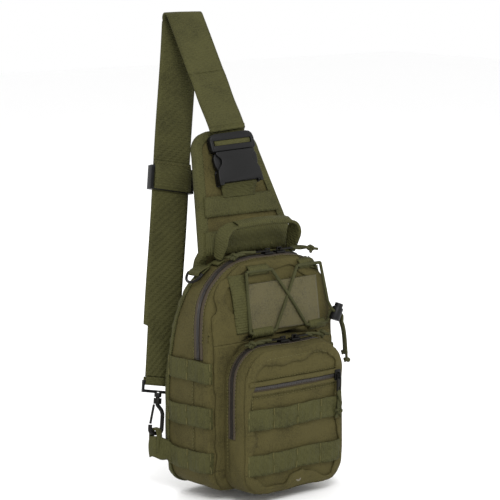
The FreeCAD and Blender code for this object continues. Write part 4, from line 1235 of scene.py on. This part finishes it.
class BAG_OT_handle(bpy.types.Operator):
    """Make the carry handle and the sewn tabs"""
    bl_idname = "bag.handle"
    bl_label = "Handle and tabs"

    def execute(self, context):
        base, _ = joint_place("handle_swing")
        lean = math.radians(17)
        up = Vector((0, -math.sin(lean), math.cos(lean)))
        across = Vector((0, math.cos(lean), math.sin(lean)))
        half, rise, corner = 0.058, 0.042, 0.016
        spans = [rise - corner, corner * math.pi / 2, 2 * (half - corner), corner * math.pi / 2, rise - corner]
        total = sum(spans)

        def place(u, v):
            run = total * v
            part = 0
            while part < 4 and run > spans[part]:
                run -= spans[part]
                part += 1
            angle = run / corner
            if part == 0:
                x, z = -half, run
            elif part == 1:
                x, z = corner - half - corner * math.cos(angle), rise - corner + corner * math.sin(angle)
            elif part == 2:
                x, z = corner - half + run, rise + 0.0022 * math.sin(math.pi * run / spans[2])
            elif part == 3:
                x, z = half - corner + corner * math.sin(angle), rise - corner + corner * math.cos(angle)
            else:
                x, z = half, rise - corner - run
            climb = min(1.0, max(z, 0) / 0.022)
            wide = 0.014 + 0.0085 * climb
            if part in (1, 2, 3):
                level = 1.0 if part == 2 else (angle if part == 1 else math.pi / 2 - angle) / (math.pi / 2)
                wide -= 0.0095 * level
            sag = -0.0012 * (1 - (2 * u - 1) ** 2)
            return base + Vector((x, 0, 0)) + up * (z + sag) + across * (wide * (u - 0.5))

        strip = band("strip", 8, 90, place, made["webbing"], 0.0034, uv=(0.025, total))

        def grip(u, v):
            x = (half - corner) * (2 * v - 1) * 0.98
            angle = 2 * math.pi * u
            round_y = 0.0064 * math.copysign(abs(math.cos(angle)) ** 0.6, math.cos(angle))
            round_z = 0.0036 * math.copysign(abs(math.sin(angle)) ** 0.6, math.sin(angle))
            return base + Vector((x, 0, 0)) + across * round_y + up * (
                rise - 0.0004 + round_z + 0.0022 * math.sin(math.pi * v))

        hold = band("hold", 24, 60, grip, made["webbing"], 0.0008, uv=(0.025, 0.08))
        handle = join("handle", [strip, hold])
        ride(handle, "handle", "grab_handle", slot="webbing")

        tabs = []
        for side in (-1, 1):
            foot = base + Vector((side * half, 0, -0.0042))
            bm = bmesh.new()
            bmesh.ops.create_cube(bm, size=1.0)
            bmesh.ops.scale(bm, vec=(0.012, 0.013, 0.0026), verts=bm.verts)
            bmesh.ops.rotate(bm, cent=(0, 0, 0), matrix=Matrix.Rotation(side * 0.4, 3, "Y"), verts=bm.verts)
            bmesh.ops.translate(bm, vec=foot, verts=bm.verts)
            bmesh.ops.bevel(bm, geom=bm.edges, offset=0.0008, segments=2, profile=0.5, affect="EDGES", material=-1)
            tabs.append(make_object("foot", bm, made["webbing"]))
            ring, _ = joint_place("ring_right_swing" if side > 0 else "ring_left_swing")
            lift = Vector((side * 0.7143, 0, 0.6999))
            down = Vector((side * 0.6999, 0, -0.7143))

            def ring_tab(u, v, ring=ring, lift=lift, down=down):
                if v < 0.35:
                    share = v / 0.35
                    reach, high = -0.017 + 0.0155 * share, -0.0062 + 0.0088 * share ** 0.7
                elif v < 0.75:
                    angle = math.pi * (0.5 - (v - 0.35) / 0.4)
                    reach, high = -0.0015 + 0.0042 * math.cos(angle), 0.0026 * math.sin(angle)
                else:
                    share = (v - 0.75) / 0.25
                    reach, high = -0.0015 - 0.013 * share, -0.0026 - 0.0026 * share
                return ring + down * reach + lift * high + Vector((0, 0.019 * (u - 0.5), 0))
            tabs.append(band("ring_tab", 6, 40, ring_tab, made["webbing"], 0.0014, uv=(0.019, 0.035)))
        hold = HOOK_LOW

        def side_loop(u, v):
            angle = 2 * math.pi * v
            y = 0.0080 * math.copysign(abs(math.cos(angle)) ** 0.6, math.cos(angle))
            z = 0.0150 * math.copysign(abs(math.sin(angle)) ** 0.6, math.sin(angle))
            return hold + Vector((0.007 * (u - 0.5), y, z - 0.009))

        tabs.append(band("side_loop", 4, 60, side_loop, made["webbing"], 0.0018, uv=(0.01, 0.08)))
        plan = [(-0.1018, 0.030), (-0.1050, 0.037), (-0.1105, 0.042), (-0.1160, 0.048), (-0.1172, 0.055),
                (-0.1130, 0.0605), (-0.1060, 0.060), (-0.1016, 0.054)]

        def tail_end(u, v):
            x, y = on_path(plan, v)
            low = 0.0275 + 0.005 * math.sin(math.pi * v) + 0.0012 * math.sin(v * 17)
            high = 0.0510 + 0.0085 * math.sin(math.pi * min(v * 1.25, 1.0))
            bow = 0.0016 * math.sin(math.pi * u)
            return Vector((x - bow, y, low + (high - low) * u))

        tabs.append(band("tail_end", 10, 60, tail_end, made["webbing"], 0.0018, uv=(0.025, 0.07)))
        ride(join("sewn_work", tabs), "bag", "sewn_tabs", slot="webbing")
        return {"FINISHED"}


# ---------------------------------------------------------------- hard parts

def moulded(node, bevel, material, body, slot):
    """A hard part with its edges rounded, from its frame shape."""
    source = frame["nodes"][node]
    bm = bmesh.new()
    bm.from_mesh(source.data)
    bm.transform(source.matrix_world)
    bmesh.ops.remove_doubles(bm, verts=bm.verts, dist=0.00001)
    bmesh.ops.dissolve_limit(bm, angle_limit=math.radians(3), verts=bm.verts, edges=bm.edges)
    mesh = bpy.data.meshes.new(node + "_finished")
    bm.to_mesh(mesh)
    bm.free()
    obj = bpy.data.objects.new(node + "_finished", mesh)
    bpy.context.scene.collection.objects.link(obj)
    mesh.materials.clear()
    mesh.materials.append(material)
    modify(obj, "BEVEL", width=bevel, segments=3, limit_method="ANGLE", angle_limit=math.radians(35),
           use_clamp_overlap=True, harden_normals=False)
    bake_modifiers(obj)
    obj.data.shade_smooth()
    obj.data.set_sharp_from_angle(angle=math.radians(50))
    return ride(obj, body, node, slot=slot)


HARD_PARTS = (
    ("tri_glide", 0.8, "plastic", "glide", "black_acetal"), ("hook_ring", 0.7, "plastic", "bag", "black_acetal"),
    ("cord_lock_barrel", 1.2, "plastic", "cord_lock", "black_acetal"),
    ("cord_lock_button", 1.0, "plastic", "lock_button", "black_acetal"),
    ("snap_hook", 0.4, "metal", "hook", "black_metal"), ("hook_gate", 0.4, "metal", "gate", "black_metal"),
    ("d_ring_left", 0.2, "metal", "ring_left", "black_metal"),
    ("d_ring_right", 0.2, "metal", "ring_right", "black_metal"),
    ("drain_eyelet", 0.4, "eyelet", "bag", "steel"),
)
SLIDERS = ("main_slider_left", "main_slider_right", "pocket_slider_left", "pocket_slider_right",
           "front_zip_slider")


def plate(name, edge, near, far, bevel):
    """A moulded slab of the buckle: an outline of its own X and Z, from depth `near` to `far`, edges rounded."""
    bm = bmesh.new()
    face = bm.faces.new([bm.verts.new((x * MM, near * MM, z * MM)) for x, z in edge])
    pushed = bmesh.ops.extrude_face_region(bm, geom=[face])
    moved = [item for item in pushed["geom"] if isinstance(item, bmesh.types.BMVert)]
    bmesh.ops.translate(bm, vec=(0, (far - near) * MM, 0), verts=moved)
    bmesh.ops.recalc_face_normals(bm, faces=bm.faces)
    bmesh.ops.bevel(bm, geom=[e for e in bm.edges if e.calc_face_angle(0) > 0.5], offset=bevel * MM, segments=3,
                    profile=0.5, affect="EDGES", material=-1)
    turn = Matrix((BUCKLE_SIDE, BUCKLE_BACK, BUCKLE_UP)).transposed().to_4x4()
    bm.transform(Matrix.Translation(BUCKLE_AT) @ turn)
    obj = make_object(name, bm, made["plastic"])
    obj.data.set_sharp_from_angle(angle=math.radians(40))
    return obj


def mirrored(edge):
    """An outline's right half, run down from its top, closed by its mirror image."""
    return edge + [(-x, z) for x, z in reversed(edge)]


class BAG_OT_buckle(bpy.types.Operator):
    """Mould the side-release buckle: socket, frame and two prongs"""
    bl_idname = "bag.buckle"
    bl_label = "Buckle"

    def execute(self, context):
        waist = [(26, -22.6), (27.5, -24), (26.5, -27), (22.5, -30.5), (21, -34), (22.5, -38.5), (27, -43),
                 (29.5, -47), (30.5, -56), (30.8, -64), (27, -64.4), (26.2, -61)]
        face = mirrored(waist)
        pieces = [plate("face", face, -6, -3.4, 0.7), plate("face", face, 3.4, 6, 0.7)]
        pieces.append(plate("sill", mirrored([(25.6, -54), (25.6, -61.5)]), -4, 4, 0.8))
        for side in (-1, 1):
            cheek = [(side * x, z) for x, z in ((24, -46), (29.2, -47.5), (30.4, -56), (30.6, -63.6), (24, -63.6))]
            pieces.append(plate("cheek", cheek, -5, 5, 0.7))
            rail = [(side * x, z) for x, z in ((5.5, -24), (7.5, -24), (7.5, -54), (5.5, -54))]
            pieces.append(plate("rail", rail, -4, 4, 0.3))
        ride(join("buckle_socket", pieces), "bag", "buckle_female", slot="black_acetal")
        top = mirrored([(22, 0.4), (26.5, -0.6), (29.6, -3.4), (31, -8.4), (26, -8.6)])
        frame_pieces = [plate("top", top, -5, 5, 1.4)]
        for side in (-1, 1):
            arm = [(side * x, z) for x, z in ((26.6, -6.5), (31, -7), (31, -19), (29.8, -22), (26, -22))]
            frame_pieces.append(plate("arm", arm, -5, 5, 1.2))
        frame_pieces.append(plate("rail", mirrored([(27.5, -14.6), (27.5, -22)]), -5, 5, 1.2))
        frame_pieces.append(plate("tongue", mirrored([(4, -21), (4, -50), (2.6, -51.8)]), -2.8, 2.8, 0.6))
        ride(join("buckle_frame", frame_pieces), "release_buckle", "buckle_male", slot="black_acetal")
        for side, name in ((-1, "left"), (1, "right")):
            prong = [(side * x, z) for x, z in ((19.8, -22.3), (24.3, -22.3), (28, -25), (30.4, -29), (30.6, -35),
                                                (30, -40), (27, -46), (22.5, -49), (20.5, -48.5), (19.8, -36))]
            piece = plate("prong_" + name + "_finished", prong, -2.9, 2.9, 0.8)
            ride(piece, name + "_prong", "prong_" + name, slot="black_acetal")
        return {"FINISHED"}


class BAG_OT_hardware(bpy.types.Operator):
    """Finish the rings, hook, glide, cord lock, drain eyelet and zip sliders"""
    bl_idname = "bag.hardware"
    bl_label = "Hardware"

    def execute(self, context):
        for node, bevel, material, body, slot in HARD_PARTS:
            moulded(node, bevel * MM, made[material], body, slot)
        for name in SLIDERS:
            moulded(name, 0.5 * MM, made["metal"], name, "black_metal")
            moulded(name + "_tab", 0.35 * MM, made["metal"], name + "_pull", "black_metal")
        return {"FINISHED"}


# ---------------------------------------------------------------- cords

TAILS = (((100, -55, 190), (104, -57, 182), (105, -58, 142)), ((102, -49, 189), (107, -50, 180), (108, -50, 150)))
# Each pull: where its slider stands, the way out of the zip, the way the pull lies, and the cord's route from
# the tab's eye in that frame, in millimetres.
PULLS = {
    "main_slider_left": ((8, -19, 280), (0, 0, 1), (-1, 0, 0),
                         ((21, 0, 4.9), (38, -1, 4.9), (46, 0, 4.4), (54, 2, 3))),
    "main_slider_right": ((27, -19, 280), (0, 0, 1), (1, 0, 0),
                          ((21, 0, 4.9), (30, -5, 4.6), (38, -7, 4), (45, -8, 2))),
    "pocket_slider_left": ((0, -58, 178), (0, 0, 1), (-1, 0, 0),
                           ((21, 0, 4.9), (30, -1, 4), (38, 0, 4), (49, 1, 3))),
    "pocket_slider_right": ((18, -58, 178), (0, 0, 1), (1, 0, 0),
                            ((21, 0, 4.9), (28, 1, 4), (36, 0, 3.6), (45, -1, 3))),
    "front_zip_slider": ((66, -81.8, 133), (0, -1, 0), (0, 0, -1), ((21, 0, 5.2), (34, 1, 5.4), (45, 0, 5.0))),
}


def knot(name, at, along, radius, cord):
    """An overhand knot as a trefoil of cord."""
    heading = along.to_track_quat("Z", "Y").to_matrix()
    points = []
    for i in range(24):
        angle = 2 * math.pi * i / 24
        flat = Vector((math.sin(angle) + 2 * math.sin(2 * angle), math.cos(angle) - 2 * math.cos(2 * angle),
                       -math.sin(3 * angle) * 1.2))
        points.append(at + heading @ (flat * (radius / 3.2)))
    return solid_tube(name, points, cord, made["cord"], closed=True)


class BAG_OT_cords(bpy.types.Operator):
    """Tie the pulls, the elastic lacing and its tails"""
    bl_idname = "bag.cords"
    bl_label = "Cords"

    def execute(self, context):
        for name in SLIDERS:
            self.pull(name)
        self.lacing()
        self.tails()
        return {"FINISHED"}

    def pull(self, name):
        """A doubled cord through the tab's eye, twisted a little, with a knot and two short tails."""
        at, out, toward, route = PULLS[name]
        at, out, toward = Vector(at) * MM, Vector(out), Vector(toward)
        cross = out.cross(toward)
        line = [at + (toward * x + cross * y + out * z) * MM for x, y, z in route]
        spread = cross if abs(out.z) > 0.5 else toward.cross(out)
        pieces = []
        for sign in (-1, 1):
            points = [line[0] - toward * 0.0015]
            for i in range(9):
                centre = on_path(line, i / 8)
                angle = i * 0.55
                points.append(centre + (spread * math.cos(angle) + out * 0.6 * math.sin(angle)) * sign * 0.0018)
            pieces.append(solid_tube("strand", points, 0.0019, made["cord"]))
            end = line[-1]
            tail = [end, end + toward * 0.004 + spread * sign * 0.002,
                    end + toward * 0.008 + spread * sign * 0.0045 - out * 0.001]
            pieces.append(solid_tube("end", tail, 0.0017, made["cord"]))
        pieces.append(knot("knot", line[-1], toward, 0.0044, 0.0019))
        ride(join(name + "_pull_cord", pieces), name + "_pull", name + "_cord", slot="paracord")

    def lacing(self):
        """The elastic crosses the loop field and runs through the four tabs."""
        tilt = Vector((0, FRONT_TOP - FRONT, TALL - FRONT_KNEE)).normalized()
        origin = Vector((0, FRONT, FRONT_KNEE))
        out = Vector((0, -tilt.z, tilt.y))

        def at(x, z, depth=6.1):
            return origin + Vector((x * MM, 0, 0)) + tilt * (z * MM) + out * (depth * MM)

        runs = ([(86, 27), (82, 52), (78, 75)], [(78, 75), (60, 75.4), (40, 75)], [(40, 75), (20, 38), (-1, 1)],
                [(-1, 1), (-20, 0.6), (-41, 1)], [(-41, 1), (-41.4, 38), (-41, 75)],
                [(-41, 75), (-20, 75.4), (-1, 75)],
                [(-1, 75), (25, 37), (49, 1)], [(49, 1), (66, 0.6), (83, 1)])
        pieces = []
        for number, points in enumerate(runs):
            depth = 8.2 if number == 6 else 6.1
            line = [at(x, z, depth if i == 1 else 6.1) for i, (x, z) in enumerate(points)]
            bends = [line[0], line[0].lerp(line[1], 0.3), line[1], line[1].lerp(line[2], 0.7), line[2]]
            pieces.append(solid_tube("lace", bends, 0.0020, made["cord"]))
        lock, way = joint_place("cord_lock_run")
        way = way.normalized()
        cross = Vector((way.z, 0, -way.x))
        for start, side in ((at(86, 27), -1), (at(83, 1), 1)):
            depth = Vector((0, side * 0.0018, 0))
            low = lock - way * 0.001 + depth
            tail = Vector(TAILS[0 if side < 0 else 1][0]) * MM
            route = [start, start.lerp(low - cross * 0.010, 0.6), low - cross * 0.009, low, low + cross * 0.0085,
                     tail + Vector((0.0005, 0, 0.006)), tail]
            pieces.append(solid_tube("lace", route, 0.0017, made["cord"]))
        ride(join("elastic_lace", pieces), "main_flap", "shock_cord", slot="elastic")

    def tails(self):
        """The two free ends of the elastic hang from the lock to a knot each."""
        for number, route in enumerate(TAILS):
            points = [Vector(point) * MM for point in route]
            cord = tube("elastic_tail_%d" % number, points, 0.0017, made["cord"])
            end = knot("tail_knot_%d" % number, points[-1], Vector((0, 0, 1)), 0.0036, 0.0016)
            if number == 0:
                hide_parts("shock_cord_tails")
            for piece in (cord, end):
                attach(piece, "main_flap")
            length = measured(points)
            tuple(points[0])


def measured(points):
    """The length of a smooth cord through three or more control points, as a quadratic with held ends."""
    if len(points) == 3:
        line = [points[0] * (1 - t) ** 2 + points[1] * 2 * t * (1 - t) + points[2] * t * t
                for t in [i / 64 for i in range(65)]]
        return sum((b - a).length for a, b in zip(line, line[1:]))
    return sum((b - a).length for a, b in zip(points, points[1:]))


# ---------------------------------------------------------------- stage

class BAG_OT_stage(bpy.types.Operator):
    """Set the floor, the lights and the camera"""
    bl_idname = "bag.stage"
    bl_label = "Stage"

    def execute(self, context):
        bm = bmesh.new()
        bmesh.ops.create_grid(bm, x_segments=2, y_segments=2, size=6.0)
        bmesh.ops.translate(bm, vec=(0, 0, CAD_BOX[0][2] - 0.012), verts=bm.verts)
        material, _, shader = new_material("pale_floor", 0.9)
        shader.inputs["Base Color"].default_value = (0.97, 0.97, 0.97, 1)
        make_object("floor", bm, material)
        target = Vector((0, 0.004, 0.2835))
        turn, rise, distance = math.radians(-40), math.radians(9), 2.6
        back = Vector((math.sin(turn) * math.cos(rise), -math.cos(turn) * math.cos(rise), math.sin(rise)))
        camera = bpy.data.cameras.new("camera")
        camera.sensor_width = 36
        camera.lens = 36 * distance / 0.613
        camera.clip_end = 50
        eye = bpy.data.objects.new("camera", camera)
        eye.location = target + back * distance
        eye.rotation_euler = back.to_track_quat("Z", "Y").to_euler()
        context.scene.collection.objects.link(eye)
        context.scene.camera = eye
        for name, size, power, at in (("key", 1.3, 62, (-1.2, -2.2, 2.4)), ("fill", 2.4, 10, (2.2, -2.0, 1.2)),
                                      ("rim", 1.4, 30, (0.4, 2.2, 2.2))):
            light = bpy.data.lights.new(name, "AREA")
            light.size = size
            light.energy = power
            lamp = bpy.data.objects.new(name, light)
            lamp.location = at
            lamp.rotation_euler = (Vector(at) - target).to_track_quat("Z", "Y").to_euler()
            context.scene.collection.objects.link(lamp)
        world = bpy.data.worlds.new("studio")
        context.scene.world = world
        context.scene.view_settings.view_transform = "Standard"
        world.use_nodes = True
        world.node_tree.nodes["Background"].inputs["Color"].default_value = (1, 1, 1, 1)
        world.node_tree.nodes["Background"].inputs["Strength"].default_value = 1.0
        return {"FINISHED"}


class BAG_PT_panel(bpy.types.Panel):
    """Lists the steps of the bag"""
    bl_idname = "BAG_PT_panel"
    bl_label = "Sling bag"
    bl_space_type = "VIEW_3D"
    bl_region_type = "UI"
    bl_category = "Sling bag"

    def draw(self, context):
        for step in STEPS:
            self.layout.operator(step.bl_idname)
        for group in (context.scene.bag_sizes, context.scene.bag_colours):
            for name in group.__annotations__:
                self.layout.prop(group, name)


STEPS = (BAG_OT_stage, BAG_OT_body_form, BAG_OT_cords, BAG_OT_body, BAG_OT_zips, BAG_OT_webbing, BAG_OT_seams,
         BAG_OT_back, BAG_OT_yoke, BAG_OT_strap, BAG_OT_handle, BAG_OT_buckle, BAG_OT_hardware)
CLASSES = (BagSizes, BagColours) + STEPS + (BAG_PT_panel,)


def register():
    for cls in CLASSES:
        bpy.utils.register_class(cls)
    bpy.types.Scene.bag_sizes = bpy.props.PointerProperty(type=BagSizes)
    bpy.types.Scene.bag_colours = bpy.props.PointerProperty(type=BagColours)


def unregister():
    del bpy.types.Scene.bag_colours
    del bpy.types.Scene.bag_sizes
    for cls in reversed(CLASSES):
        bpy.utils.unregister_class(cls)


def main():
    register()
    paint()
    for step in STEPS:
        group, call = step.bl_idname.split(".")
        getattr(getattr(bpy.ops, group), call)()


if __name__ == "__main__":
    main()
